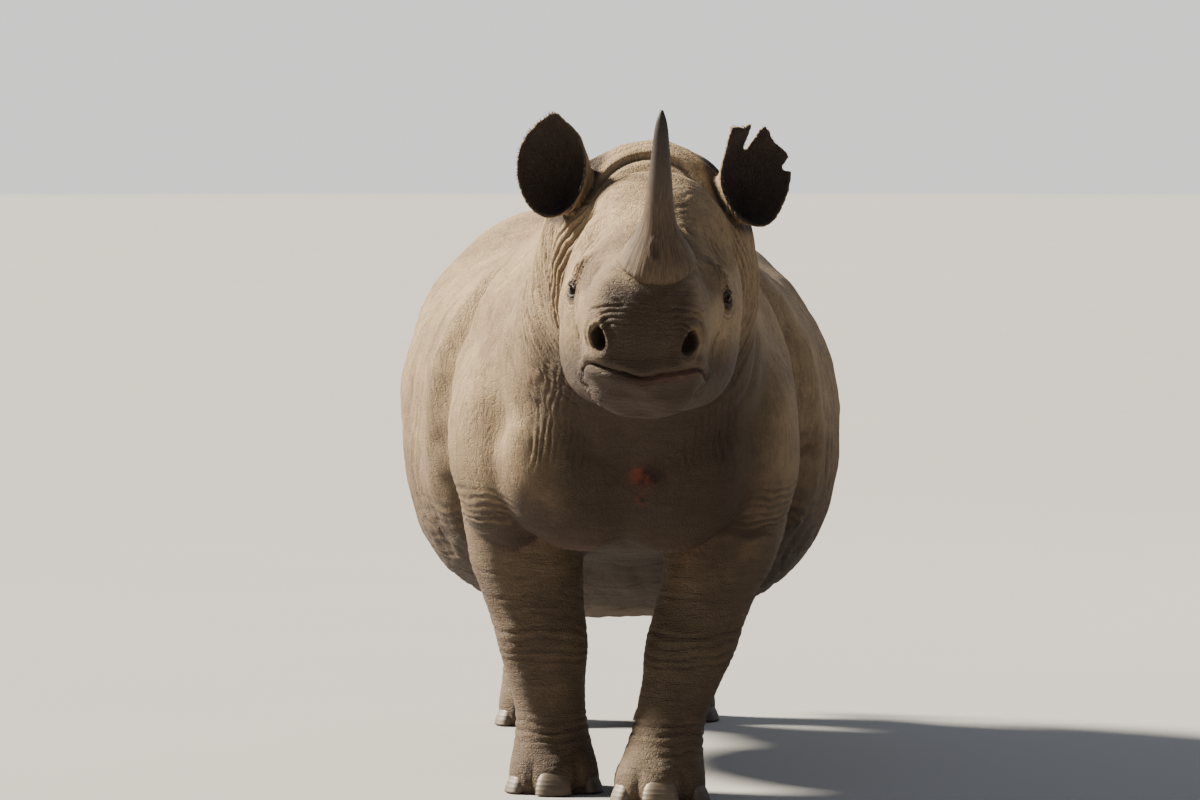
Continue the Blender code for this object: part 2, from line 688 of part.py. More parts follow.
def centre_on_floor(nodes):
    """Moves the whole animal so that the middle of its box stands on the origin."""
    graph = bpy.context.evaluated_depsgraph_get()
    corners = []
    for made in nodes:
        data = made.evaluated_get(graph).to_mesh()
        points = np.empty(len(data.vertices) * 3)
        data.vertices.foreach_get("co", points)
        corners += [points.reshape(-1, 3).min(0), points.reshape(-1, 3).max(0)]
    low, high = np.min(corners, axis=0), np.max(corners, axis=0)
    middle = Vector((-(low[0] + high[0]) / 2, -(low[1] + high[1]) / 2, -low[2]))
    for data in bpy.data.meshes:
        if data.users:
            data.transform(Matrix.Translation(middle))


def main():
    for old in list(bpy.data.objects):
        bpy.data.objects.remove(old)
    nodes = flesh_nodes()
    head = nodes["head"]
    for name in EARS:
        nodes[name] = ear(name, EAR_WALL)
        fit_into(head, ear(name, EAR_WALL + 2 * GAP, filled=True))
    for name in HORNS:
        nodes[name] = horn(name)
        fit_into(head, horn(name, swell=GAP))
    for side in (1, -1):
        made = eye(side)
        nodes[made.name] = made
        fit_into(head, eye(side, swell=GAP))
    for leg, sole in soles().items():
        for turn, half, place in zip(NAIL_TURNS, NAIL_HALF_WIDTH, ("inner", "middle", "outer")):
            if leg.endswith("right"):
                turn = -turn
            name = f"nail_{leg.replace('leg', '')}_{place}"
            nodes[name] = nail(name, sole, turn, half)
            fit_into(nodes[leg], nail(name + "_socket", sole, turn, half, swell=GAP))
    bpy.context.view_layer.update()
    centre_on_floor(nodes.values())


main()
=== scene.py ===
"""A black rhinoceros standing alert with its head raised, as a still life-size model.

One skin covers head, neck, trunk, legs, tail and ears. It is grown from the same lofts and
muscle masses as the solids, joined by a voxel remesh, and then sculpted: every fold, lid,
nostril and wrinkle is a height that depends on where a point lies. Horns, eyes, lids, nails
and hairs are pieces of their own. The animal faces -Y and its left side is +X.
"""

import math

import bmesh
import bpy
import numpy as np
from mathutils import Matrix, Vector


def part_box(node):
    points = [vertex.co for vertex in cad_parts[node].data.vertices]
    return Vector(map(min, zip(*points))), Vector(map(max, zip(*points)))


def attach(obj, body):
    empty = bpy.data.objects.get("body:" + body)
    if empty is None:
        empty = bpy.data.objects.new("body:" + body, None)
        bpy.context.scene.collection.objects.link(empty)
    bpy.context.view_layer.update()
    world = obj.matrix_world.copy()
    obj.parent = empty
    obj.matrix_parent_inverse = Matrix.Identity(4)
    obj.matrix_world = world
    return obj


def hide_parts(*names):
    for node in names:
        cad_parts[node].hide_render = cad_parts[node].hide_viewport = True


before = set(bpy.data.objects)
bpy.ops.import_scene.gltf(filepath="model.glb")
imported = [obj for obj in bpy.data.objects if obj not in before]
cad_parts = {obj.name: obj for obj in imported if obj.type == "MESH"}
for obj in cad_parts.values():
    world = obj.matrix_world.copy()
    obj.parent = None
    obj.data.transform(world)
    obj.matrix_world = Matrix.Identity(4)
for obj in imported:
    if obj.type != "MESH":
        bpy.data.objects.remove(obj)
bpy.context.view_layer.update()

# ---------------------------------------------------------------- sizes, in metres
EYES = np.array([0.056, -1.64, 1.306])  # midway between the eyes, before the model is centred
EYE_SPREAD = 0.168  # from the head's middle plane to each eyeball's centre
EYE_RADIUS = 0.023
HEAD_PITCH = math.radians(15)
HEAD_YAW = math.radians(2)
HEAD_ROLL = math.radians(3)
GRAIN = 0.0043  # of the remesh that joins the masses
SMOOTHING = 0.013  # how far the smoothing of the joined masses reaches
SKIN_TRIANGLES = 192_000
RUMP_SHIFT = -0.045  # the rump stands this far to the left of the shoulders' middle
HIND_FEET = {"left": (-0.055, 0.05), "right": (0.060, -0.05)}  # set inwards and along


def box_middle(node):
    low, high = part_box(node)
    return (np.array(low) + np.array(high)) / 2


# How far the whole model was moved so that its box stands on the origin.
CENTRED = (box_middle("eye_left") + box_middle("eye_right")) / 2 - EYES

# Stations of trunk and neck: back line (y, z), belly line (y, z), half width, shift to the
# left, height of the widest place, roundness above and below.
TRUNK = (
    (1.215, 1.06, 1.205, 0.90, 0.060, -0.045, 0.50, 2.0, 2.0),
    (1.170, 1.22, 1.150, 0.78, 0.220, -0.045, 0.50, 2.0, 2.0),
    (1.060, 1.35, 1.050, 0.72, 0.345, -0.045, 0.50, 2.1, 2.1),
    (0.860, 1.44, 0.860, 0.66, 0.445, -0.045, 0.48, 2.4, 2.2),
    (0.660, 1.46, 0.640, 0.54, 0.510, -0.040, 0.47, 2.5, 2.3),
    (0.440, 1.435, 0.420, 0.42, 0.560, -0.028, 0.49, 2.5, 2.5),
    (0.200, 1.40, 0.180, 0.365, 0.583, -0.012, 0.51, 2.4, 2.6),
    (-0.040, 1.39, -0.060, 0.39, 0.570, -0.003, 0.51, 2.3, 2.6),
    (-0.270, 1.43, -0.280, 0.47, 0.520, 0.000, 0.50, 2.1, 2.5),
    (-0.480, 1.49, -0.500, 0.57, 0.445, 0.000, 0.47, 1.9, 2.4),
    (-0.660, 1.505, -0.760, 0.62, 0.385, 0.004, 0.45, 1.8, 2.2),
    (-0.820, 1.495, -0.960, 0.74, 0.335, 0.012, 0.46, 1.8, 2.1),
    (-0.950, 1.52, -1.080, 0.87, 0.300, 0.026, 0.48, 1.9, 2.0),
    (-1.060, 1.60, -1.170, 0.97, 0.282, 0.042, 0.48, 2.0, 2.0),
    (-1.170, 1.66, -1.270, 1.04, 0.268, 0.054, 0.48, 2.0, 2.0),
    (-1.270, 1.65, -1.360, 1.08, 0.245, 0.060, 0.48, 2.0, 2.0),
    (-1.350, 1.56, -1.430, 1.13, 0.200, 0.062, 0.48, 2.0, 2.0),
    (-1.400, 1.46, -1.450, 1.20, 0.110, 0.062, 0.50, 2.0, 2.0),
)
# Stations of the head in its own frame: forward of the eyes, top, underside, half width,
# height of the widest place, roundness above and below.
HEAD = (
    (-0.440, 0.080, -0.100, 0.080, 0.000, 2.0, 2.0),
    (-0.390, 0.165, -0.190, 0.150, 0.000, 2.0, 2.0),
    (-0.320, 0.213, -0.255, 0.186, -0.010, 2.2, 2.1),
    (-0.240, 0.206, -0.290, 0.208, -0.060, 2.1, 2.8),
    (-0.150, 0.184, -0.302, 0.218, -0.095, 1.9, 3.4),
    (-0.070, 0.166, -0.302, 0.213, -0.100, 1.9, 3.6),
    (0.010, 0.156, -0.288, 0.198, -0.090, 2.0, 3.6),
    (0.080, 0.150, -0.266, 0.173, -0.070, 2.2, 3.5),
    (0.150, 0.150, -0.246, 0.153, -0.050, 2.5, 3.3),
    (0.215, 0.142, -0.232, 0.143, -0.040, 2.7, 3.1),
    (0.268, 0.112, -0.220, 0.134, -0.045, 2.6, 2.8),
    (0.305, 0.062, -0.192, 0.110, -0.055, 2.4, 2.2),
    (0.328, 0.005, -0.160, 0.072, -0.070, 2.2, 2.0),
    (0.338, -0.040, -0.110, 0.025, -0.075, 2.0, 2.0),
)
# Stations of the legs and tail: centre (x, y, z), half width, half depth.
FORELEG_RIGHT = (
    (-0.270, -0.640, 0.960, 0.150, 0.210),
    (-0.272, -0.630, 0.760, 0.150, 0.190),
    (-0.250, -0.635, 0.600, 0.143, 0.165),
    (-0.228, -0.650, 0.480, 0.124, 0.130),
    (-0.212, -0.665, 0.375, 0.116, 0.115),
    (-0.200, -0.668, 0.290, 0.100, 0.102),
    (-0.189, -0.665, 0.200, 0.090, 0.096),
    (-0.184, -0.670, 0.130, 0.097, 0.107),
    (-0.181, -0.682, 0.065, 0.112, 0.126),
    (-0.180, -0.686, 0.020, 0.114, 0.130),
    (-0.180, -0.686, 0.000, 0.104, 0.120),
)
FORELEG_LEFT = (
    (0.270, -0.650, 0.960, 0.150, 0.210),
    (0.268, -0.650, 0.760, 0.150, 0.190),
    (0.240, -0.685, 0.600, 0.143, 0.165),
    (0.203, -0.725, 0.480, 0.124, 0.130),
    (0.168, -0.770, 0.375, 0.116, 0.115),
    (0.143, -0.800, 0.290, 0.100, 0.102),
    (0.115, -0.828, 0.200, 0.090, 0.096),
    (0.100, -0.850, 0.130, 0.097, 0.107),
    (0.090, -0.866, 0.065, 0.112, 0.126),
    (0.088, -0.870, 0.020, 0.114, 0.130),
    (0.088, -0.870, 0.000, 0.104, 0.120),
)
HINDLEG = (
    (0.270, 0.800, 1.020, 0.185, 0.280),
    (0.285, 0.800, 0.820, 0.178, 0.255),
    (0.280, 0.825, 0.670, 0.150, 0.205),
    (0.270, 0.890, 0.540, 0.116, 0.150),
    (0.262, 0.955, 0.440, 0.100, 0.122),
    (0.256, 0.955, 0.340, 0.090, 0.102),
    (0.252, 0.920, 0.220, 0.086, 0.092),
    (0.250, 0.885, 0.130, 0.094, 0.104),
    (0.250, 0.864, 0.065, 0.107, 0.122),
    (0.250, 0.858, 0.020, 0.109, 0.126),
    (0.250, 0.858, 0.000, 0.099, 0.116),
)
TAIL = (
    (-0.045, 1.080, 1.270, 0.060, 0.060),
    (-0.045, 1.190, 1.240, 0.050, 0.045),
    (-0.048, 1.265, 1.160, 0.038, 0.034),
    (-0.054, 1.300, 1.030, 0.030, 0.028),
    (-0.062, 1.305, 0.880, 0.025, 0.024),
    (-0.068, 1.298, 0.740, 0.022, 0.023),
    (-0.072, 1.290, 0.640, 0.017, 0.026),
    (-0.074, 1.284, 0.575, 0.011, 0.018),
)
# Muscle masses: centre, radii and forward lean in degrees; on both sides.
MUSCLES = (
    ((0.235, -0.590, 1.050), (0.150, 0.250, 0.310), 14),
    ((0.285, -0.680, 0.900), (0.165, 0.250, 0.300), -18),
    ((0.285, -0.560, 0.710), (0.130, 0.170, 0.180), 0),
    ((0.110, -0.920, 0.850), (0.210, 0.150, 0.230), 20),
    ((0.260, 0.780, 1.020), (0.210, 0.310, 0.360), -8),
    ((0.290, 0.800, 0.800), (0.185, 0.270, 0.290), -10),
    ((0.320, 0.600, 0.720), (0.120, 0.140, 0.170), 10),
)
# Soft moves of the head: centre (left, forward, up), reach, move; mirrored if off the middle.
HEAD_MOVES = (
    ((0.165, -0.005, 0.058), 0.055, (0.014, 0.000, 0.008)),
    ((0.165, -0.130, 0.090), 0.085, (-0.016, 0.000, -0.010)),
    ((0.205, -0.075, -0.040), 0.080, (0.010, 0.000, 0.000)),
    ((0.125, 0.095, 0.065), 0.065, (-0.016, 0.000, -0.004)),
    ((0.150, 0.110, -0.100), 0.080, (-0.012, 0.000, 0.000)),
    ((0.000, 0.185, 0.145), 0.110, (0.000, 0.000, 0.012)),
    ((0.120, 0.262, -0.016), 0.050, (0.012, 0.010, 0.004)),
    ((0.000, 0.335, -0.105), 0.060, (0.000, 0.012, -0.012)),
    ((0.000, 0.300, -0.200), 0.070, (0.000, -0.020, 0.000)),
    ((0.000, 0.220, -0.250), 0.080, (0.000, 0.010, -0.003)),
)

# An ear: half width, height above and below its middle, how far its point stands out of
# the oval, depth of the cup, thickness of the wall, and where its root lies (inwards, up).
EAR_HALF_WIDTH = 0.083
EAR_UP = 0.106
EAR_DOWN = 0.123
EAR_POINT = 0.018
EAR_DEPTH = 0.105
EAR_WALL = 0.0095
EAR_ROOT = (0.062, -0.072)
EARS = {  # middle of the rim, turn outwards, lean outwards
    "ear_right": (np.array([-0.182, -1.352, 1.608]), math.radians(14), math.radians(1)),
    "ear_left": (np.array([0.319, -1.352, 1.586]), math.radians(14), math.radians(-1)),
}
# Tears in the left ear's rim: their middle and half width in degrees from the top outwards,
# and the share of the way to the rim that is missing, or added where it is negative.
EAR_TEARS = (
    (4, 9, 0.44),
    (17, 9, -0.05),
    (42, 20, 0.05),
    (79, 9, 0.13),
    (128, 40, 0.05),
    (-98, 40, 0.16),
    (-46, 30, -0.27),
)

NOSTRIL = (0.102, 0.296, -0.018)  # left, forward, up of the head
NOSTRIL_FACING = (0.50, 0.86, -0.06)
EYE_FACING = (0.88, 0.46, 0.10)
EYE_SLIT = (0.0215, 0.0130)  # half length and half height between the lids
SORE = np.array([0.054, -1.035, 0.829])
SCAR = (0.014, 0.190)  # of the front horn: left and up of the head

# Horns: forward, left, seat, length, lean at base and tip, lean to the left, half width, half
# length of the foot.
HORNS = {
    "horn_front": (0.180, 0.018, 0.134, 0.379, 14, -8, -1.6, 0.086, 0.100),
    "horn_rear": (-0.030, 0.008, 0.132, 0.180, 2, -12, 0, 0.064, 0.076),
}
HORN_TAPER = (  # share of the length, share of the foot's width
    (0.00, 1.00),
    (0.04, 1.00),
    (0.08, 0.93),
    (0.14, 0.77),
    (0.20, 0.63),
    (0.26, 0.52),
    (0.32, 0.45),
    (0.43, 0.38),
    (0.66, 0.285),
    (0.88, 0.19),
    (0.96, 0.12),
    (1.00, 0.03),
)
NAIL_TURNS = (-58, 0, 58)  # degrees round the sole
NAIL_HALF_WIDTH = (0.034, 0.046, 0.034)


# ---------------------------------------------------------------- small mathematics
def curve_through(rows, count):
    """A Catmull-Rom curve through the rows, read at count even steps: each span is the cubic
    that passes through its two ends with the slopes of their neighbours."""
    rows = np.array(rows, float)
    padded = np.vstack([2 * rows[0] - rows[1], rows, 2 * rows[-1] - rows[-2]])
    at = np.linspace(0, len(rows) - 1, count)
    low = np.minimum(at.astype(int), len(rows) - 2)
    t = (at - low)[:, None]
    a, b, c, d = (padded[low + i] for i in range(4))
    cubic = 3 * (b - c) + d - a
    square = 2 * a - 5 * b + 4 * c - d
    return 0.5 * (2 * b + (c - a) * t + square * t**2 + cubic * t**3)


def signed_power(values, power):
    return np.sign(values) * np.abs(values) ** power


def hill(distance, width):
    """1 at distance 0, falling as a bell."""
    return np.exp(-((distance / width) ** 2))


def ramp(values, start, end):
    """0 before start, 1 after end, smooth between."""
    t = np.clip((values - start) / (end - start), 0, 1)
    return t * t * (3 - 2 * t)


def between(values, low, high, soft):
    """1 from low to high, fading to 0 over soft outside them."""
    return ramp(values, low - soft, low) * (1 - ramp(values, high, high + soft))


def unit(vector):
    vector = np.asarray(vector, float)
    return vector / np.linalg.norm(vector, axis=-1, keepdims=True)


def wander(points, size, seed, octaves=2):
    """Smooth noise from -1 to 1: a sum of sine waves that run in random directions, the next
    octave half as long and half as high."""
    random = np.random.default_rng(seed)
    total = np.zeros(len(points))
    weight = 0.0
    for octave in range(octaves):
        directions = unit(random.normal(size=(5, 3))) * (2 * math.pi * 2**octave / size)
        shifts = random.uniform(0, 2 * math.pi, 5)
        waves = np.sin(points @ directions.T + shifts).sum(axis=1) / 2.6
        total += waves * 0.5**octave
        weight += 0.5**octave
    return total / weight


def pleats(phase, sharp=0.55):
    """Rows of rounded folds with narrow valleys at whole numbers of phase, from -1 to 0.5."""
    return 1.5 * np.abs(np.sin(math.pi * phase)) ** sharp - 1.0


def groove(distance, width):
    """The section of one crease: a valley with a low lip on each side."""
    away = np.abs(distance) / width
    return -np.exp(-(away**2)) + 0.32 * np.exp(-((away - 2.0) ** 2))


def section(half_width, widest, round_up, round_down, columns):
    """A superellipse whose upper and lower halves have their own roundness, as side and as
    share of the height."""
    turn = np.linspace(0, 2 * math.pi, columns, endpoint=False)
    across, up = np.cos(turn), np.sin(turn)
    power = 2 / np.where(up >= 0, round_up, round_down)
    side = half_width * signed_power(across, power)
    rise = np.abs(up) ** power
    share = np.where(up >= 0, widest + (1 - widest) * rise, widest * (1 - rise))
    return side, share


def turning(axis, angle):
    """The 3 by 3 turn about X, Y or Z."""
    return np.array(Matrix.Rotation(angle, 3, axis))


HEAD_AXES = turning("Z", -HEAD_YAW) @ turning("Y", HEAD_ROLL) @ turning("X", HEAD_PITCH)


def from_head(local):
    """(left, forward, up) of the head to the world."""
    local = np.asarray(local, float) * (1, -1, 1)
    return local @ HEAD_AXES.T + EYES


def to_head(points):
    """World points to (left, forward, up) of the head."""
    return ((points - EYES) @ HEAD_AXES) * (1, -1, 1)


def head_direction(local):
    return (np.asarray(local, float) * (1, -1, 1)) @ HEAD_AXES.T


# ---------------------------------------------------------------- meshes
def tube_faces(rings, columns, start=0):
    """Quads of a tube of rings, and one face that closes each end."""
    ring, column = np.meshgrid(np.arange(rings - 1), np.arange(columns), indexing="ij")
    here = start + ring * columns + column
    beside = start + ring * columns + (column + 1) % columns
    quads = np.stack([here, beside, beside + columns, here + columns], axis=-1)
    first = list(range(start, start + columns))[::-1]
    last = [start + (rings - 1) * columns + i for i in range(columns)]
    return [*quads.reshape(-1, 4).tolist(), first, last]


def closed_mesh(name, points, faces):
    """A mesh of these points and faces, with the faces turned outwards."""
    mesh = bpy.data.meshes.new(name)
    mesh.from_pydata(points.reshape(-1, 3).tolist(), [], faces)
    solid = bmesh.new()
    solid.from_mesh(mesh)
    bmesh.ops.recalc_face_normals(solid, faces=solid.faces[:])
    solid.to_mesh(mesh)
    solid.free()
    return mesh


def mesh_of(name, grids):
    """One mesh of several closed tubes, each an array of rings by columns by 3."""
    points, faces, start = [], [], 0
    for grid in grids:
        rings, columns = grid.shape[:2]
        faces += tube_faces(rings, columns, start)
        points.append(grid.reshape(-1, 3))
        start += rings * columns
    return closed_mesh(name, np.concatenate(points), faces)


def sided(name, side):
    return name + ("_left" if side > 0 else "_right")


def piece_of(name, mesh, finish=None, smooth=True):
    made = bpy.data.objects.new(name, mesh)
    bpy.context.scene.collection.objects.link(made)
    if finish:
        mesh.materials.append(finish)
    mesh.polygons.foreach_set("use_smooth", [smooth] * len(mesh.polygons))
    return made


def points_of(mesh):
    flat = np.empty(len(mesh.vertices) * 3)
    mesh.vertices.foreach_get("co", flat)
    return flat.reshape(-1, 3)


def set_points(mesh, points):
    mesh.vertices.foreach_set("co", np.ascontiguousarray(points).ravel())
    mesh.update()


def normals_of(mesh):
    flat = np.empty(len(mesh.vertices) * 3)
    mesh.vertex_normals.foreach_get("vector", flat)
    return flat.reshape(-1, 3)


def write_attribute(mesh, name, values):
    layer = mesh.attributes.get(name) or mesh.attributes.new(name, "FLOAT", "POINT")
    layer.data.foreach_set("value", np.clip(values, 0, 1).astype(np.float32))


def baked(made):
    """The object's mesh with its modifiers applied."""
    graph = bpy.context.evaluated_depsgraph_get()
    return bpy.data.meshes.new_from_object(made.evaluated_get(graph))


# ---------------------------------------------------------------- masses under the skin
def trunk_grid(rings=110, columns=80):
    """Sections through a back point and a belly point, each a superellipse."""
    made = []
    for row in curve_through(TRUNK, rings):
        top_y, top_z, low_y, low_z, wide, shift, widest, up, down = row
        side, share = section(wide, widest, up, down, columns)
        y = low_y + (top_y - low_y) * share
        z = low_z + (top_z - low_z) * share
        made.append(np.stack([side + shift, y, z], axis=1))
    return np.array(made)


def head_grid(rings=90, columns=72):
    """Upright superellipse sections of the head, carried along its length."""
    made = []
    for ahead, top, low, wide, middle, up, down in curve_through(HEAD, rings):
        side, share = section(wide, (middle - low) / (top - low), up, down, columns)
        forward = np.full_like(side, ahead)
        made.append(np.stack([side, forward, low + (top - low) * share], axis=1))
    return from_head(np.array(made))


def limb_grid(rows, rings=70, columns=48, squareness=2.3):
    """Level superellipse sections carried down a limb."""
    turn = np.linspace(0, 2 * math.pi, columns, endpoint=False)
    across = signed_power(np.cos(turn), 2 / squareness)
    along = signed_power(np.sin(turn), 2 / squareness)
    x, y, z, wide, deep = (column[:, None] for column in curve_through(rows, rings).T)
    level = np.maximum(z, 0) + 0 * across
    return np.stack([x + wide * across, y + deep * along, level], axis=-1)


def hind_leg(side):
    """The rows of one hind leg, moved over with the rump, its foot set inwards and along."""
    inwards, along = HIND_FEET[side]
    flip = 1 if side == "left" else -1
    rows = np.array(HINDLEG)
    low = 1 - rows[:, 2] / rows[0, 2]
    rows[:, 0] = flip * rows[:, 0] + RUMP_SHIFT + inwards * low
    rows[:, 1] += along * low
    return rows


def ellipsoid_grid(centre, radii, lean, rings=36, columns=48):
    """Circles of latitude, stretched to the radii and leant forward."""
    rise = np.linspace(-math.pi / 2 + 0.02, math.pi / 2 - 0.02, rings)[:, None]
    turn = np.linspace(0, 2 * math.pi, columns, endpoint=False)
    level = np.cos(rise)
    ball = np.stack([level * np.cos(turn), level * np.sin(turn), np.sin(rise) + 0 * turn], axis=-1)
    return (ball * radii) @ turning("X", math.radians(lean)).T + centre


def muscle_grids():
    for (x, y, z), radii, lean in MUSCLES:
        over = RUMP_SHIFT if y > 0 else 0.0
        for side in (1, -1):
            yield ellipsoid_grid((side * x + over, y, z), radii, lean)


def ear_frame(name):
    """The middle of an ear's rim, and its outward, upward and forward axes as rows."""
    centre, turn_out, lean_out = EARS[name]
    side = -1 if name.endswith("right") else 1
    turned = turning("Z", side * turn_out) @ turning("Y", side * lean_out)
    return centre, np.array([turned @ (side, 0, 0), turned @ (0, 0, 1), turned @ (0, -1, 0)])


def ear_cut(turn, torn):
    """How much of the way to the rim is missing, or added, at each turn."""
    cut = np.zeros_like(turn)
    for at, half, depth in EAR_TEARS if torn else ():
        cut += depth * np.clip(1 - np.abs(np.degrees(turn) - at) / half, 0, 1) ** 0.85
    return cut


def ear_cup(torn, columns=180, rows=34):
    """The inside of an ear, from root to rim: the rim, an oval with a point, drawn in towards
    the root and sunk back as a power of the way in; the sides curl forward."""
    turn = np.linspace(-math.pi, math.pi, columns, endpoint=False)
    tall = np.where(np.cos(turn) >= 0, EAR_UP, EAR_DOWN)
    point = EAR_POINT * np.clip(1 - np.abs(turn) / 0.55, 0, 1) ** 1.5
    rim = np.stack([EAR_HALF_WIDTH * np.sin(turn), tall * np.cos(turn) + point], axis=1)
    share = np.linspace(0.10, 1.0, rows)[:, None]
    along = share * (1 - ear_cut(turn, torn) * share)
    drawn = rim * along[..., None]
    middle = np.array([-EAR_ROOT[0], EAR_ROOT[1]]) * (1 - along[..., None])
    cup = -EAR_DEPTH * (1 - np.minimum(along, 1) ** 1.7)
    curl = 0.018 * np.cos(turn) * along**2
    return np.concatenate([drawn + middle, (cup - curl)[..., None]], axis=-1)


def ear_grid(name):
    """An ear as one closed tube: up its back, over the rim and down into the cup."""
    centre, axes = ear_frame(name)
    inner = ear_cup(name == "ear_left") @ axes + centre
    round_it = np.roll(inner, -1, axis=1) - np.roll(inner, 1, axis=1)
    outwards = unit(np.cross(round_it, np.gradient(inner, axis=0)))
    if np.mean((outwards @ axes[2])[0]) > 0:
        outwards = -outwards
    thick = EAR_WALL * np.linspace(1.6, 0.85, len(inner))[:, None, None]
    return np.concatenate([inner + outwards * thick, inner[::-1]])


def ear_depth(points, name):
    """Points in an ear's frame: outwards, up, forward."""
    centre, axes = ear_frame(name)
    return (points - centre) @ axes.T


def near_ear(points, root=(-0.085, -0.045), behind=-0.075):
    """1 on the ears, fading to 0 at their roots and behind this depth."""
    found = np.zeros(len(points))
    for name in EARS:
        out, up, ahead = ear_depth(points, name).T
        width, height = EAR_HALF_WIDTH + 0.02, (EAR_UP + EAR_DOWN) / 2 + 0.03
        round_ = np.hypot(out / width, up / height)
        rooted = ramp(out + 0.35 * up, *root)
        reach = between(ahead, behind, 0.06, 0.025)
        found = np.maximum(found, (1 - ramp(round_, 0.95, 1.1)) * reach * rooted)
    return found


# ---------------------------------------------------------------- the skin's growth
def grown_skin():
    """The masses joined by a voxel remesh and smoothed, face, ears and tail less than the
    rest, then shaped at the head and made finer round eyes, nostrils and lips."""
    grids = [trunk_grid(), head_grid(), limb_grid(FORELEG_LEFT), limb_grid(FORELEG_RIGHT)]
    grids += [limb_grid(hind_leg(side)) for side in HIND_FEET]
    grids += [limb_grid(TAIL, columns=32, squareness=2.0), *muscle_grids()]
    grids += [ear_grid(name) for name in EARS]
    masses = piece_of("masses", mesh_of("masses", grids))
    join = masses.modifiers.new("join", "REMESH")
    join.mode = "VOXEL"
    join.voxel_size = GRAIN
    joined = baked(masses)
    bpy.data.objects.remove(masses)

    skin = piece_of("skin", joined)
    points = points_of(joined)
    ahead, up = to_head(points)[:, 1:].T
    face = ramp(ahead, -0.24, -0.19) * ramp(-points[:, 1], 1.30, 1.38)
    keep = np.maximum.reduce([near_ear(points), ramp(points[:, 1], 1.21, 1.27), 0.85 * face])
    breast = ramp(-points[:, 1], 0.20, 0.40) * (1 - ramp(-points[:, 1], 1.05, 1.20))
    breast *= between(points[:, 2], 0.78, 1.45, 0.10)
    rounds = (SMOOTHING / GRAIN) ** 2
    for name, count, shares in (
        ("blend", 8 * rounds, 1 - keep),
        ("shoulders", 20 * rounds, breast),
        ("polish", 4, 1 + 0 * keep),
    ):
        smooth = skin.modifiers.new(name, "SMOOTH")
        smooth.factor = 0.5
        smooth.iterations = int(count)
        smooth.vertex_group = weighted_group(skin, name, shares)
    mesh = baked(skin)
    bpy.data.objects.remove(skin)

    points = points_of(mesh)
    local = to_head(points)
    on_head = 1 - near_ear(points)
    for (left, ahead, up), reach, (out, forward, rise) in HEAD_MOVES:
        for side in (1, -1) if left else (1,):
            share = np.linalg.norm(local - (side * left, ahead, up), axis=1) / reach
            fade = np.clip(1 - share**2, 0, 1) ** 2 * on_head
            local += fade[:, None] * (side * out, forward, rise)
    points = from_head(local)
    points[:, 2] = np.where(points[:, 2] < 0.009, 0, points[:, 2])
    set_points(mesh, points)
    return refined(refined(mesh, 0.085, True), 0.045)


def weighted_group(made, name, shares, step=0.1):
    """Name of a new vertex group of the object with these weights, rounded to the step."""
    group = made.vertex_groups.new(name=name)
    levels = np.round(shares / step).astype(int)
    for level in np.unique(levels[levels > 0]):
        chosen = np.flatnonzero(levels == level)
        group.add(chosen.tolist(), float(level * step), "REPLACE")
    return group.name


def refined(mesh, reach, ruff=False):
    """Halves the edges of the faces within reach of an eye, nostril or lip, and where ruff is
    true also those of the neck's front, whose folds are narrow."""
    points = points_of(mesh)
    local = to_head(points)
    edge, z = face_edge(local), points[:, 2]
    near = (edge > -0.03) & (edge < 0.27) & (z > 0.85) & (z < 1.5) & ruff
    for side in (1, -1):
        eye = (side * EYE_SPREAD, 0, 0)
        nose = (side * NOSTRIL[0], NOSTRIL[1], NOSTRIL[2])
        near |= np.linalg.norm(local - eye, axis=1) < reach
        near |= np.linalg.norm(local - nose, axis=1) < reach
    lip = np.abs(local[:, 2] - mouth_height(local)) < reach * 0.5
    near |= lip & (local[:, 1] > 0.10) & (np.abs(local[:, 0]) < 0.2)
    solid = bmesh.new()
    solid.from_mesh(mesh)
    solid.verts.ensure_lookup_table()
    edges = [e for e in solid.edges if near[e.verts[0].index] and near[e.verts[1].index]]
    bmesh.ops.subdivide_edges(solid, edges=edges, cuts=1, use_grid_fill=True)
    made = bpy.data.meshes.new("finer")
    bmesh.ops.triangulate(solid, faces=[f for f in solid.faces if len(f.verts) > 4])
    solid.to_mesh(made)
    solid.free()
    return made


# ---------------------------------------------------------------- the skin's sculpting
def face_edge(local):
    """How far behind the edge of the face each point of the head's frame lies: the edge runs
    down behind the cheek and forwards under the jaw."""
    return 0.09 * ramp(-local[:, 2], 0.18, 0.31) - local[:, 1] - 0.200


def mouth_height(local):
    """Height of the line between the lips at each point of the head's frame: it dips where
    the upper lip hooks down in the middle, and sinks towards the corners."""
    dip = 0.006 * hill(local[:, 0], 0.060)
    return -0.086 - dip - 0.066 * ramp(0.30 - local[:, 1], 0.0, 0.15)


def facing_frame(facing, side):
    """Outward, along and upward directions of an opening on the head, as rows."""
    out = unit(np.array(facing) * (side, 1, 1))
    along = unit(np.cross((0, 0, 1), out)) * -side
    return np.array([out, along, np.cross(out, along) * side])


def seen_from(local, centre, facing, side):
    """Points as (out, along, up) of an opening on one side of the head."""
    middle = np.array(centre) * (side, 1, 1)
    return ((local - middle) @ facing_frame(facing, side).T).T


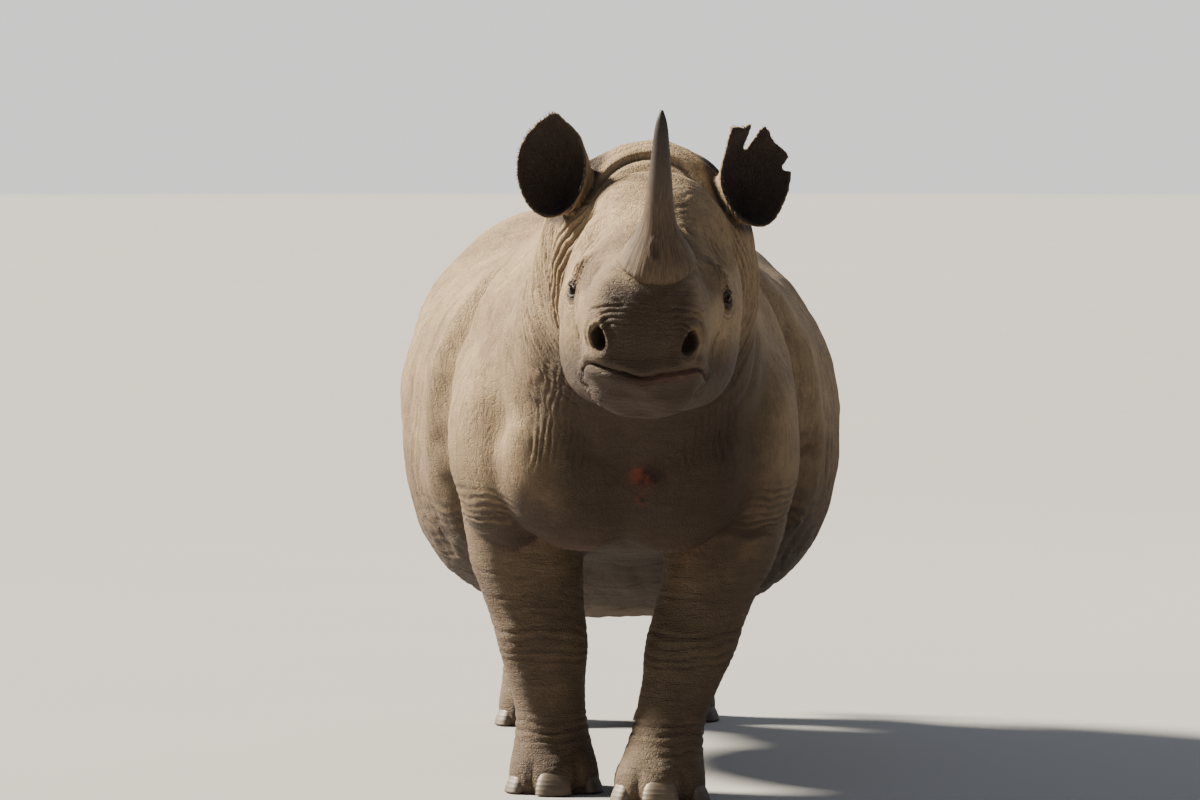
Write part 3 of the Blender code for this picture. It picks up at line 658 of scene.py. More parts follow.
def open_eyes(local):
    """Wraps the skin over each eyeball as two lids and sinks what lies between them."""
    for side in (1, -1):
        out, along, up = seen_from(local, (EYE_SPREAD, 0, 0), EYE_FACING, side)
        half, tall = EYE_SLIT
        lens = tall * (1 - 0.35 * np.clip(along / half, -1, 1) ** 2)
        away = np.hypot(along / half, up / lens)
        close = (out > -0.03) & (np.hypot(along, up) < 0.09)
        flat = along**2 + up**2
        lid = EYE_RADIUS + 0.0042
        ball = np.sqrt(np.clip(lid**2 - flat, 0, None))
        over = np.where(flat < lid**2, ball, 0)
        raised = (np.maximum(over, out) - out) * (1 - ramp(away, 1.9, 3.2))
        lowered = (over - out) * 0.75 * (1 - ramp(away, 1.0, 1.7)) * (over < out)
        change = raised + lowered
        inside = 1 - ramp(away, 0.93, 1.04)
        change = change * (1 - inside) + (-0.006 - out) * inside
        move = np.where(close, change, 0)
        local = local + move[:, None] * facing_frame(EYE_FACING, side)[0]
    return local


def open_nostrils(local):
    """Sinks a deep comma into each side of the muzzle and raises a wing round it."""
    for side in (1, -1):
        out, along, up = seen_from(local, NOSTRIL, NOSTRIL_FACING, side)
        tilt = math.radians(20)
        across = along * math.cos(tilt) + up * math.sin(tilt)
        tall = up * math.cos(tilt) - along * math.sin(tilt)
        width = 0.0175 * (1 + 0.25 * ramp(tall, -0.02, 0.025))
        away = np.hypot(across / width, tall / 0.0320)
        close = np.abs(out) < 0.06
        sunk = -0.046 * np.sqrt(np.clip(1 - away**2, 0, 1)) * ramp(1 - away, 0, 0.25)
        wing = 0.0065 * hill(away - 1.30, 0.24) * (0.6 + 0.4 * ramp(-tall, -0.01, 0.03))
        valley = -0.003 * hill(away - 1.95, 0.30)
        move = np.where(close, sunk + wing + valley, 0)
        local = local + move[:, None] * facing_frame(NOSTRIL_FACING, side)[0]
    return local


def part_lips(local):
    """Cuts the mouth's line, rolls the upper lip over it and hooks its tip."""
    above = local[:, 2] - mouth_height(local)
    side = np.abs(local[:, 0])
    front = ramp(local[:, 1], 0.135, 0.175)
    facing = np.stack([local[:, 0] * 2.2, local[:, 1] - 0.12, 0 * side], axis=1)
    facing = facing / np.maximum(np.linalg.norm(facing, axis=1, keepdims=True), 1e-6)
    uneven = 1 + 0.25 * wander(local, 0.05, 3)
    cut = -0.014 * hill(above + 0.001, 0.0042) * uneven
    upper = 0.0075 * hill(above - 0.019, 0.015) * (1 + 0.3 * hill(side, 0.06))
    lower = 0.0045 * hill(above + 0.020, 0.012)
    chin = -0.004 * hill(above + 0.052, 0.016)
    local = local + ((cut + upper + lower + chin) * front)[:, None] * facing
    hook = hill(side, 0.034) * hill(above - 0.010, 0.020) * ramp(local[:, 1], 0.28, 0.32)
    local[:, 2] -= 0.004 * hook
    local[:, 1] += 0.004 * hook
    return local


def nose_folds(side, ahead, up, waver):
    """Arches over the nostrils, and level wrinkles across the bridge of the nose."""
    aside = np.maximum(side - 0.070, 0)
    arch = np.sqrt(aside**2 + (up + 0.018) ** 2 + 0.4 * (ahead - 0.31) ** 2)
    depth = 0.0016 + 0.0016 * ramp(side, 0.05, 0.09)
    arches = between(arch, 0.036, 0.088, 0.018) * ramp(up, -0.02, 0.02) * ramp(ahead, 0.16, 0.22)
    height = depth * arches * pleats(arch / 0.0135 + waver)
    bridge = between(up, -0.070, 0.010, 0.015) * ramp(ahead, 0.26, 0.30)
    bridge *= 1 - ramp(side, 0.055, 0.075)
    return height + 0.0008 * bridge * pleats(up / 0.011 + 1.2 * waver)


def eye_folds(local, waver):
    """Rings round the eyes, bags under them, and a fold that runs from each towards the nose."""
    _, ahead, up = local.T
    height = 0 * ahead
    for side in (1, -1):
        out, along, rise = seen_from(local, (EYE_SPREAD, 0, 0), EYE_FACING, side)
        close = ramp(out, -0.07, -0.03)
        ring = np.hypot(along * 0.85, rise)
        rings = between(ring, 0.028, 0.046, 0.014) * close
        height += 0.0026 * rings * pleats(ring / 0.0115 + 0.4 * waver)
        bag = np.hypot(along / 0.62, (rise + 0.046) * 0.85)
        bags = between(bag, 0.010, 0.036, 0.012) * close
        height += 0.0075 * bags * pleats(bag / 0.0150 + 0.3 * waver)
        fold = np.abs(along * 0.75 + rise * 0.65 + 0.006)
        path = between(ahead, 0.02, 0.10, 0.02) * between(up, -0.10, 0.02, 0.02)
        height += 0.0035 * groove(fold, 0.010) * path * ramp(side * local[:, 0], 0.08, 0.11)
    return height


def mouth_folds(local, points, waver):
    """Lumps at the mouth's slack corners, most at the right, and the wrinkles round them."""
    side, ahead, up = np.abs(local[:, 0]), local[:, 1], local[:, 2]
    corner = hill(np.linalg.norm(local - (-0.118, 0.170, -0.175), axis=1), 0.062)
    corner += 0.35 * hill(np.linalg.norm(local - (0.118, 0.170, -0.150), axis=1), 0.055)
    lumps = pleats((ahead * 0.9 + up * 0.75) / 0.022 + 1.5 * waver, 0.8)
    height = 0.0140 * corner * lumps * (1 + 0.6 * wander(points, 0.030, 15))
    height += 0.0130 * corner * wander(points, 0.030, 17)
    smile = hill(np.hypot(ahead - 0.125, up + 0.108), 0.040) * ramp(side, 0.08, 0.11)
    around = np.hypot(ahead - 0.19, up + 0.100)
    height += 0.0032 * smile * pleats(around / 0.015 + 0.5 * waver)
    chin = between(up, -0.24, -0.150, 0.02) * ramp(ahead, 0.14, 0.20)
    return height + 0.0010 * chin * pleats(up / 0.014 + side / 0.09 + 1.3 * waver)


def cheek_folds(local, waver):
    """The edge of the face, where the cheek stands proud of the neck, the narrow folds behind
    it and the cheek's own lines."""
    side, ahead, up = np.abs(local[:, 0]), local[:, 1], local[:, 2]
    edge = face_edge(local) + 0.006 * waver
    high = between(up, -0.34, 0.10, 0.05) * ramp(side, 0.02, 0.08)
    height = -0.022 * ramp(edge, 0.0, 0.026) * (1 - ramp(edge, 0.030, 0.130)) * high
    height -= 0.017 * hill(edge - 0.024, 0.013) * high * (0.75 + 0.5 * waver)
    height += 0.004 * hill(edge + 0.022, 0.026) * high
    behind = between(edge, 0.036, 0.15, 0.02) * high
    height += 0.0075 * behind * pleats(edge / 0.0150 + 0.45 * waver)
    cheek = between(ahead, -0.16, 0.08, 0.05) * between(up, -0.22, -0.08, 0.04)
    cheek *= ramp(side, 0.10, 0.14)
    return height + 0.0011 * cheek * pleats((up * 0.75 - ahead * 0.55) / 0.019 + 1.4 * waver)


def brow_folds(side, ahead, up, waver):
    """Slanting lines over brow and temple."""
    brow = between(ahead, -0.28, 0.08, 0.05) * ramp(up, 0.05, 0.11) * ramp(side, 0.02, 0.06)
    height = 0.0013 * brow * pleats((ahead * 0.80 + side * 0.75) / 0.022 + 1.2 * waver)
    temple = hill(np.hypot(ahead + 0.11, up - 0.085), 0.06) * ramp(side, 0.11, 0.15)
    return height + 0.0026 * temple * pleats((ahead + 0.4 * up) / 0.019 + waver)


def horn_seats(local, points):
    """Skin heaped against the foot of each horn."""
    height = 0 * local[:, 0]
    for forward, left, _, _, _, _, _, wide, long in HORNS.values():
        away = np.hypot((local[:, 0] - left) / wide, (local[:, 1] - forward) / long)
        heap = hill(away - 1.10, 0.10) * ramp(local[:, 2], 0.06, 0.09)
        height += 0.045 * wide * heap * (0.6 + 0.4 * wander(points, 0.035, 16))
    return height


def head_relief(local, points):
    """Heights of the head's folds: rows of pleats, grooves and hills, each within the zone
    where it belongs, with their lines bent by slow noise."""
    side, ahead, up = np.abs(local[:, 0]), local[:, 1], local[:, 2]
    waver = wander(points, 0.13, 11) * 0.50 + wander(points, 0.045, 12) * 0.16
    height = 0.0022 * wander(points, 0.16, 13) + 0.0007 * wander(points, 0.045, 14)
    height += nose_folds(side, ahead, up, waver) + eye_folds(local, waver)
    height += mouth_folds(local, points, waver) + cheek_folds(local, waver)
    return height + brow_folds(side, ahead, up, waver) + horn_seats(local, points)


COLLARS = (  # of the neck: distance along it, half width, depth
    (0.520, 0.012, 0.010),
    (0.470, 0.010, 0.008),
    (0.425, 0.010, 0.009),
    (0.370, 0.011, 0.009),
    (0.300, 0.013, 0.008),
    (0.215, 0.014, 0.006),
    (0.110, 0.018, 0.006),
)


def neck_folds(points, side, waver, slow):
    """Collars down the sides of the neck, closest behind the cheek, with fine folds among
    them, the nape's folds and the crease behind the crown."""
    _, y, z = points.T
    along = -(y + 0.85) * 0.93 + (z - 1.15) * 0.37
    neck = ramp(side, 0.07, 0.16) * ramp(z, 0.92, 1.08) * ramp(along, -0.05, 0.05)
    height = 0 * y
    for at, width, depth in COLLARS:
        bent = along - at + 0.016 * waver + 0.03 * hill(z - 1.30, 0.2) - 0.015
        height += depth * groove(bent, width) * neck * (0.75 + 0.30 * slow)
    fine = between(along, 0.24, 0.50, 0.05) * ramp(side, 0.12, 0.20)
    fine *= between(z, 0.98, 1.48, 0.06)
    height += 0.0040 * fine * pleats(along / 0.0190 + 1.1 * waver)
    nape = ramp(z, 1.50, 1.56) * between(y, -1.27, -1.00, 0.03)
    arched = (side / 0.15) ** 2
    height += 0.0028 * nape * pleats((y + 0.042 * arched) / 0.024 + 1.1 * waver)
    crown = groove(y + 1.296 + 0.05 * arched + 0.006 * waver, 0.009)
    return height + 0.009 * crown * ramp(z, 1.46, 1.54) * (1 - ramp(side, 0.15, 0.2))


def breast_folds(points, side, waver):
    """Ragged shallow furrows from the jaw down the sides of the breast, level wrinkles in its
    middle, and the sore, sunk inside faint rings."""
    x, y, z = points.T
    fan = between(side, 0.13, 0.24, 0.04) * between(z, 0.88, 1.08, 0.07) * ramp(-y, 0.82, 0.94)
    fan *= 0.55 + 0.45 * wander(points * (1, 1, 0.4), 0.09, 26)
    ragged = wander(points * (1, 1, 0.35), 0.040, 28) * 0.45
    furrow = x / 0.018 + 0.25 * np.sign(x) * z / 0.05 + 0.7 * ragged + 0.8 * waver
    height = 0.0046 * fan * pleats(furrow)
    middle = between(z, 0.72, 1.00, 0.05) * ramp(-y, 0.88, 0.96) * (1 - ramp(side, 0.10, 0.16))
    height += 0.0010 * middle * pleats(z / 0.020 + 1.3 * waver)
    away = np.linalg.norm((points - SORE) * (1, 0.35, 1.1), axis=1)
    away = away * (1 + 0.15 * wander(points, 0.06, 27))
    height -= 0.0080 * (1 - ramp(away, 0.004, 0.036))
    rings = between(away, 0.055, 0.10, 0.02)
    return height + 0.0006 * rings * pleats(away / 0.019 + 0.6 * waver)


def armpit(points, side, height):
    """Distance from the pit between a foreleg and the breast."""
    return np.linalg.norm((points - (side * 0.125, -0.86, height)) * (1, 0.8, 0.7), axis=1)


def shoulder_folds(points, side, waver, slow):
    """The fold behind each shoulder, its soft front edge, crescents above the elbow and the
    creases of the armpit."""
    x, y, z = points.T
    blade = y + 0.43 + 0.20 * (z - 0.95) + 0.02 * waver
    flank = ramp(side, 0.20, 0.30) * between(z, 0.66, 1.28, 0.10)
    height = 0.038 * groove(blade, 0.050) * flank * (0.8 + 0.3 * slow)
    edge = y + 0.905 - 0.30 * (z - 1.0) + 0.02 * waver
    front = between(z, 0.95, 1.30, 0.10) * ramp(side, 0.18, 0.26)
    height += 0.005 * groove(edge, 0.040) * front
    for s in (1, -1):
        away = np.linalg.norm((points - (s * 0.27, -0.70, 0.575)) * (1, 0.8, 1), axis=1)
        arcs = between(away, 0.13, 0.26, 0.05) * ramp(z, 0.62, 0.70) * ramp(s * x, 0.22, 0.30)
        arcs *= ramp(-y, 0.42, 0.60)
        height += 0.0018 * arcs * pleats(away / 0.0190 + 1.5 * waver)
        pit = hill(armpit(points, s, 0.70), 0.075)
        height += 0.0040 * pit * pleats((z * 0.9 + s * x * 1.2) / 0.025 + waver)
    return height


def flank_folds(points, normals, side, waver):
    """Ribs, the folds of stifle and haunch, the slack belly, and the rump's cleft and rows."""
    x, y, z = points.T
    ribs = ramp(side, 0.36, 0.46) * between(z, 0.60, 1.22, 0.10) * between(y, -0.2, 0.50, 0.15)
    height = 0.0026 * ribs * pleats(y / 0.060 + 0.25 * z / 0.06 + 0.9 * waver, 1.2)
    stifle = y - 0.44 - 0.30 * (z - 0.75) + 0.02 * waver
    low = between(z, 0.52, 0.92, 0.10) * ramp(side, 0.15, 0.3)
    height += 0.011 * groove(stifle, 0.026) * low
    haunch = y - 0.50 - 0.42 * (z - 1.0) + 0.03 * waver
    high = between(z, 0.90, 1.25, 0.10) * ramp(side, 0.25, 0.35)
    height += 0.010 * groove(haunch, 0.05) * high
    belly = ramp(-normals[:, 2], 0.35, 0.8) * between(y, -0.4, 0.5, 0.1)
    height += 0.0018 * belly * pleats(x / 0.045 + waver)
    cleft = ramp(y, 1.05, 1.16) * between(z, 0.66, 1.10, 0.06)
    height += 0.020 * groove(x - RUMP_SHIFT, 0.024) * cleft
    rump = ramp(y, 0.98, 1.10) * between(z, 0.80, 1.14, 0.06)
    return height + 0.0020 * rump * pleats(z / 0.042 + side / 0.2 + waver)


def leg_folds(points, normals, waver):
    """Rings at knee, hock and pastern, and the fine level lines of the legs."""
    _, y, z = points.T
    fore = y < 0
    knee = between(z, 0.335, 0.425, 0.03) * fore * ramp(-normals[:, 1], -0.2, 0.3)
    height = 0.0026 * knee * pleats(z / 0.026 + 1.2 * waver)
    pastern = between(z, 0.125, 0.205, 0.02)
    height += 0.0026 * pastern * pleats(z / 0.023 + 0.9 * waver)
    hock = between(z, 0.38, 0.50, 0.03) * (y > 0)
    height += 0.0030 * hock * pleats(z / 0.028 + 0.35 * y / 0.03 + 0.7 * waver)
    shins = (1 - ramp(z, 0.56, 0.64)) * between(z, 0.08, 0.6, 0.03)
    height += 0.0010 * shins * pleats(z / 0.018 + 1.6 * waver)
    elbow = between(z, 0.48, 0.70, 0.05) * fore
    return height + 0.0012 * elbow * pleats(z / 0.028 + 1.2 * waver)


def body_relief(points, normals):
    """Heights of the folds of neck, breast, shoulders, flanks, rump and legs over slow swells,
    with their lines bent by slow noise."""
    x, y, z = points.T
    middle = 0.05 * ramp(-y, 0.8, 1.3) + RUMP_SHIFT * ramp(y, 0.1, 0.6)
    side = np.abs(x - middle)
    waver = wander(points, 0.24, 21) * 0.45 + wander(points, 0.08, 22) * 0.16
    slow = wander(points, 0.5, 23)
    height = 0.0060 * wander(points, 0.36, 24) + 0.0022 * wander(points, 0.11, 25)
    height *= ramp(z, 0.25, 0.45) * ramp(y, -1.36, -1.15)
    height += neck_folds(points, side, waver, slow) + breast_folds(points, side, waver)
    height += shoulder_folds(points, side, waver, slow)
    return height + flank_folds(points, normals, side, waver) + leg_folds(points, normals, waver)


def foot_relief(points):
    """Three toes with grooves between them and a rim round each sole."""
    height = np.zeros(len(points))
    x, y, z = points.T
    for fx, fy, _, wide, deep in foot_rows().values():
        turn = np.degrees(np.arctan2((x - fx) / wide, -(y - fy) / deep))
        close = (np.hypot(x - fx, y - fy) < 0.22) & (z < 0.16)
        low = 1 - ramp(z, 0.055, 0.115)
        toes = sum(hill(turn - at, 19) for at in (-60, 0, 60))
        gaps = sum(hill(turn - at, 6) for at in (-31, 31))
        heel = hill(np.abs(turn) - 180, 50)
        foot = (0.006 * toes - 0.007 * gaps + 0.003 * heel) * low
        rim = -0.004 * hill(z - 0.016, 0.004) * ramp(np.abs(turn), 70, 95)
        height += np.where(close, foot + rim, 0)
    return height


def ear_relief(points):
    """Ridges that run down inside each cup, and fine folds at its root."""
    height = np.zeros(len(points))
    for name in EARS:
        out, up, ahead = ear_depth(points, name).T
        on = near_ear(points) * (np.hypot(out, up) < 0.2)
        turn = np.arctan2(out + 0.03, up + 0.05)
        inner = ramp(ahead, -0.085, -0.03) * (1 - ramp(ahead, 0.0, 0.02))
        height += 0.0012 * on * inner * pleats(turn / 0.24 + 0.3 * wander(points, 0.08, 31))
        for at in (0.10, 0.42):
            height += 0.0022 * on * inner * hill(turn - at, 0.05)
    return height


def foot_rows():
    """The widest low station of each foot."""
    return {
        "fore_right": FORELEG_RIGHT[-2],
        "fore_left": FORELEG_LEFT[-2],
        "hind_right": tuple(hind_leg("right")[-2]),
        "hind_left": tuple(hind_leg("left")[-2]),
    }


def sunk_below(mesh, points, normals, rounds=9):
    """How far each point lies below the average of what surrounds it: the points are
    averaged with their neighbours a few times, and the way moved is read along the normal."""
    ends = np.empty(len(mesh.edges) * 2, np.int32)
    mesh.edges.foreach_get("vertices", ends)
    first, second = ends.reshape(-1, 2).T
    size = len(points)
    shares = np.bincount(ends, minlength=size)
    around = points
    for _ in range(rounds):
        summed = np.zeros((3, size))
        for axis in range(3):
            summed[axis] = np.bincount(first, around[second, axis], size)
            summed[axis] += np.bincount(second, around[first, axis], size)
        around = summed.T / shares[:, None]
    return ((around - points) * normals).sum(axis=1)


def dark_and_shade_share(points, local, normals):
    """How dark the skin is painted: dark skin and mud together with painted shade at the muzzle,
    lips and chin, on the breast and on the legs, less and less from the feet up; painted shade
    alone on what faces down over the belly, over the top of the face from the eyes forward,
    inside the nostrils and round the eye sockets; and a tear stain under each eye."""
    x, y, z = points.T
    side, ahead, up = np.abs(local[:, 0]), local[:, 1], local[:, 2]
    lip = up - mouth_height(local)
    front = 1 - 0.60 * ramp(side, 0.085, 0.125)
    underside_shade = ramp(-normals[:, 2], 0.10, 0.60)
    off_middle = ramp(np.abs(x - 0.07), 0.18, 0.38)
    shares = [
        # dark muzzle skin with painted shade, less on the muzzle's sides
        0.90 * ramp(ahead, 0.10, 0.27) * between(up, -0.3, 0.085, 0.06) * front,
        # painted shade over the top of the face from the eyes forward
        0.36 * between(ahead, 0.02, 0.35, 0.06) * ramp(up, 0.0, 0.04),
        # the lips' dark parting line, with painted shade in it
        0.95 * hill(lip, 0.006) * ramp(ahead, 0.12, 0.16),
        # painted shade under the chin, over its darker skin
        0.97 * ramp(-up, 0.12, 0.20) * ramp(ahead, 0.05, 0.20) * front,
        # mud with painted shade on the legs, fading upwards
        0.80 * (1 - ramp(z, 0.45, 1.00)) * (0.90 + 0.10 * wander(points, 0.2, 41)),
        # painted shade on what faces down over the belly
        0.96 * underside_shade * ramp(z, 0.30, 0.45) * (y > -1.2),
        # painted shade under the head on the breast, with mud
        0.97 * between(z, 0.50, 1.12, 0.12) * ramp(-y, 0.72, 0.92) * (1 - off_middle),
    ]
    for s in (1, -1):
        out, along, rise = seen_from(local, NOSTRIL, NOSTRIL_FACING, s)
        away = np.hypot(along / 0.023, rise / 0.029)
        # painted shade inside each nostril
        shares.append((1 - ramp(away, 0.85, 1.10)) * ramp(out, -0.08, -0.06))
        out, along, rise = seen_from(local, (EYE_SPREAD, 0, 0), EYE_FACING, s)
        close = ramp(out, -0.05, -0.02)
        away = np.hypot(along / 0.033, rise / 0.028)
        # painted shade in each eye socket
        shares.append((1 - ramp(away, 0.80, 1.35)) * close)
        tear = hill(along / 0.030 - 0.3, 0.9) * between(rise, -0.050, -0.012, 0.012)
        shares.append(0.40 * tear * close)
    return np.maximum.reduce(shares)


def flush_share(points, local):
    """Where the skin is flushed: inside the lower lip, to the left, and in the armpits."""
    lip = local[:, 2] - mouth_height(local)
    shown = ramp(local[:, 1], 0.13, 0.2) * ramp(local[:, 0], -0.05, 0.03)
    pits = [0.35 * hill(armpit(points, s, 0.69), 0.06) for s in (1, -1)]
    return np.maximum.reduce([0.30 * hill(lip + 0.008, 0.009) * shown, *pits])


def sore_share(points):
    """A raw patch on the breast and a smaller spot under it."""
    sore = np.linalg.norm((points - SORE) * (1, 0.35, 1.25), axis=1)
    sore = sore * (1 + 0.30 * wander(points, 0.05, 42))
    spot = np.linalg.norm((points - SORE + (0.015, 0, 0.062)) * (1, 0.35, 1), axis=1)
    return np.maximum(1 - ramp(sore, 0.020, 0.058), 0.9 - ramp(spot, 0.008, 0.022))


def ear_cup_dark_and_shade_share(points, normals):
    """The inside of each ear, what faces forward or towards its middle: where the ear's dark skin
    and painted shade go.
    """
    cup = np.zeros(len(points))
    for name in EARS:
        out, rise, _ = ear_depth(points, name).T
        facing = (normals @ ear_frame(name)[1].T).T
        away = np.hypot(out, rise)
        inward = -(facing[0] * out + facing[1] * rise) / np.maximum(away, 0.01)
        inner = near_ear(points, (-0.150, -0.120), -0.16) * (away < 0.17)
        cup = np.maximum(cup, inner * ramp(facing[2] + 0.9 * inward, 0.05, 0.35))
    return cup


def finish_marks(mesh, points):
    """Writes what the hide's material reads: how deep each point lies in a crease, which places
    painted shade in the hollows and wear on raised points; where the skin is dark, as dark skin
    and mud together with painted shade; where it is flushed or sore; where it lies inside an ear,
    for the ear's dark skin with painted shade; and where its fine lines run level."""
    local = to_head(points)
    normals = normals_of(mesh)
    ahead, y, z = local[:, 1], points[:, 1], points[:, 2]
    on_head = ramp(-y, 1.34, 1.44) * ramp(-ahead, -0.5, 0.24)
    sunk = sunk_below(mesh, points, normals)
    nose = ramp(ahead, 0.10, 0.24) * ramp(-y, 1.5, 1.7)
    shins = 1 - ramp(z, 0.52, 0.74)
    # crease carries painted shade in hollows; dark and cup carry painted shade with dark skin
    for name, values in (
        ("crease", 0.5 + sunk / np.where(on_head > 0.5, 0.0030, 0.0040)),
        ("dark", dark_and_shade_share(points, local, normals)),
        ("flush", flush_share(points, local)),
        ("sore", sore_share(points)),
        ("cup", ear_cup_dark_and_shade_share(points, normals)),
        ("level", np.maximum(nose, shins)),
    ):
        write_attribute(mesh, name, values)


def thinned(skin, points):
    """The skin's mesh with the most triangles a piece may have. They are closest where the
    weight is least: on the face, and most of all round eyes and nostrils."""
    local = to_head(points)
    eyes = np.linalg.norm(np.abs(local) - (EYE_SPREAD, 0, 0), axis=1)
    nose = np.linalg.norm(np.abs(local) - np.abs(NOSTRIL), axis=1)
    weights = 1 - 0.25 * ramp(-points[:, 1], 0.75, 0.95) - 0.30 * ramp(-points[:, 1], 1.08, 1.25)
    weights -= 0.30 * (eyes < 0.055) + 0.15 * (nose < 0.060)
    skin.data.calc_loop_triangles()
    thin = skin.modifiers.new("thin", "DECIMATE")
    thin.ratio = min(1.0, SKIN_TRIANGLES / len(skin.data.loop_triangles))
    thin.vertex_group = weighted_group(skin, "coarse", weights, 0.01)
    thin.vertex_group_factor = 1e-4
    thin.use_collapse_triangulate = True
    return baked(skin)


def make_skin(finish):
    """Grows the skin, sculpts it and thins it."""
    mesh = grown_skin()
    points = points_of(mesh)
    clear_of_ears = 1 - near_ear(points)
    local = to_head(points)
    opened = part_lips(open_nostrils(open_eyes(local)))
    changed = from_head(local + (opened - local) * clear_of_ears[:, None])
    set_points(mesh, changed)
    normals = normals_of(mesh)
    on_head = 1 - ramp(changed[:, 1] + 0.10 * (changed[:, 2] - 1.3), -1.36, -1.26)
    head = head_relief(to_head(changed), changed) * on_head
    body = body_relief(changed, normals) * (1 - on_head)
    height = (head + body) * clear_of_ears * ramp(changed[:, 2], 0.0, 0.03)
    height += foot_relief(changed) + ear_relief(changed)
    moved = changed + normals * height[:, None]
    moved[:, 2] = np.where(changed[:, 2] <= 0.0005, 0.0, np.maximum(moved[:, 2], 0.0))
    set_points(mesh, moved)
    finish_marks(mesh, moved)

    skin = piece_of("skin", mesh, finish)
    fewer = thinned(skin, moved)
    skin.modifiers.clear()
    skin.vertex_groups.clear()
    skin.data = fewer
    bpy.data.meshes.remove(mesh)
    fewer.polygons.foreach_set("use_smooth", [True] * len(fewer.polygons))
    return skin


# ---------------------------------------------------------------- horns, eyes, nails
def horn_grid(name, rings=90, columns=96):
    """Rings carried along a curve whose lean changes evenly, sized by the taper. The fibres
    of the base are a sum of cosines of the turn that fades upwards; the front horn has an oval
    scar sunk in its front."""
    ahead, left, seat, length, base_lean, tip_lean, lean_left, wide, long = HORNS[name]
    share = np.linspace(0, 1, rings) ** 1.15
    lean = np.radians(base_lean + (tip_lean - base_lean) * share)
    aside = math.tan(math.radians(lean_left)) * share
    steps = np.diff(share, prepend=0)[:, None] * length
    spine = np.cumsum(np.stack([aside, np.sin(lean), np.cos(lean)], axis=1) * steps, axis=0)
    spine += (left, ahead, seat)
    size = np.interp(share, *np.array(HORN_TAPER).T)
    size = np.convolve(np.pad(size, 2, "edge"), np.ones(5) / 5, "valid")
    turn = np.linspace(0, 2 * math.pi, columns, endpoint=False)
    random = np.random.default_rng(5 if name == "horn_front" else 6)
    fibres = sum(
        np.cos(turn * k + random.uniform(0, 6.3)) * random.uniform(0.4, 1.0)
        for k in (7, 11, 17, 23, 29, 37)
    )
    low = np.clip(1 - share / 0.42, 0, 1)[:, None] ** 0.7
    rough = 1 + 0.010 * low * fibres + 0.012 * low * np.sin(turn * 3 + 9 * share[:, None])
    lip = 0.035 * hill(share - 0.03, 0.02)[:, None] * (1 + 0.6 * np.cos(turn * 5))
    around = size[:, None] * (rough + lip)
    deep = long * (1 - share) + wide * share
    out = deep[:, None] * around * np.sin(turn)
    left = spine[:, 0][:, None] + wide * around * np.cos(turn)
    ahead = spine[:, 1][:, None] + out * np.cos(lean)[:, None]
    up = spine[:, 2][:, None] - out * np.sin(lean)[:, None]
    if name == "horn_front":
        scar = np.hypot((left - SCAR[0]) / 0.009, (up - SCAR[1]) / 0.021)
        raised = 0.003 * hill(scar - 1.25, 0.3) - 0.006 * (1 - ramp(scar, 0.5, 1.0))
        ahead += raised * (np.sin(turn) > 0)
    return from_head(np.stack([left, ahead, up], axis=-1)), share


def make_horn(name, finish):
    grid, share = horn_grid(name)
    horn = piece_of(name + "_fine", mesh_of(name, [grid]), finish)
    around = np.tile(np.linspace(0, 1, grid.shape[1], endpoint=False), grid.shape[0])
    write_attribute(horn.data, "height", np.repeat(share, grid.shape[1]))
    write_attribute(horn.data, "around", around)
    return horn


def make_eye(side, finish):
    """An eyeball: circles of latitude round the way it looks, with the cornea swelling
    forward as a bell."""
    rise = np.linspace(0.01, math.pi - 0.01, 48)[:, None]
    turn = np.linspace(0, 2 * math.pi, 64, endpoint=False)
    radius = EYE_RADIUS * (1 + 0.07 * hill(rise, 0.42))
    out, along, up = facing_frame(EYE_FACING, side)
    round_ = np.cos(turn)[:, None] * along + np.sin(turn)[:, None] * up
    ball = np.cos(rise)[..., None] * out + np.sin(rise)[..., None] * round_
    grid = from_head(radius[..., None] * ball + (side * EYE_SPREAD, 0, 0))
    name = sided("eye", side)
    eye = piece_of(name + "_fine", mesh_of(name, [grid]), finish)
    write_attribute(eye.data, "from_pupil", np.repeat(rise.ravel() / math.pi, len(turn)))
    return eye


def lid_path(side, grow, count):
    """The edge of the lids: an almond laid on a ball a little larger than the eyeball."""
    turn = np.linspace(0, 2 * math.pi, count, endpoint=False)
    half, tall = EYE_SLIT
    along = half * grow * np.cos(turn)
    up = tall * grow * np.sin(turn) * (1 - 0.35 * np.cos(turn) ** 2)
    out = np.sqrt(np.clip((EYE_RADIUS + 0.0030) ** 2 - along**2 - up**2, 1e-6, None))
    axes = facing_frame(EYE_FACING, side)
    local = out[:, None] * axes[0] + along[:, None] * axes[1] + up[:, None] * axes[2]
    return local + (side * EYE_SPREAD, 0, 0), turn


def make_lids(side, finish):
    """A soft roll carried round the almond, thicker above than below."""
    path, turn = lid_path(side, 1.06, 96)
    ahead = unit(np.roll(path, -1, axis=0) - np.roll(path, 1, axis=0))
    out = facing_frame(EYE_FACING, side)[0]
    across = unit(np.cross(ahead, out))
    round_ = np.linspace(0, 2 * math.pi, 14, endpoint=False)
    thick = (0.0023 + 0.0010 * np.clip(np.sin(turn), 0, 1))[:, None]
    ring = path[:, None, :] + across[:, None, :] * (thick * np.cos(round_))[..., None]
    ring = ring + out * (thick * 0.85 * np.sin(round_))[..., None]
    here = np.arange(ring.shape[0] * ring.shape[1]).reshape(ring.shape[:2])
    beside = np.roll(here, -1, 1)
    quads = np.stack([here, beside, np.roll(beside, -1, 0), np.roll(here, -1, 0)], axis=-1)
    name = sided("lids", side)
    mesh = closed_mesh(name, from_head(ring), quads.reshape(-1, 4).tolist())
    return piece_of(name, mesh, finish)


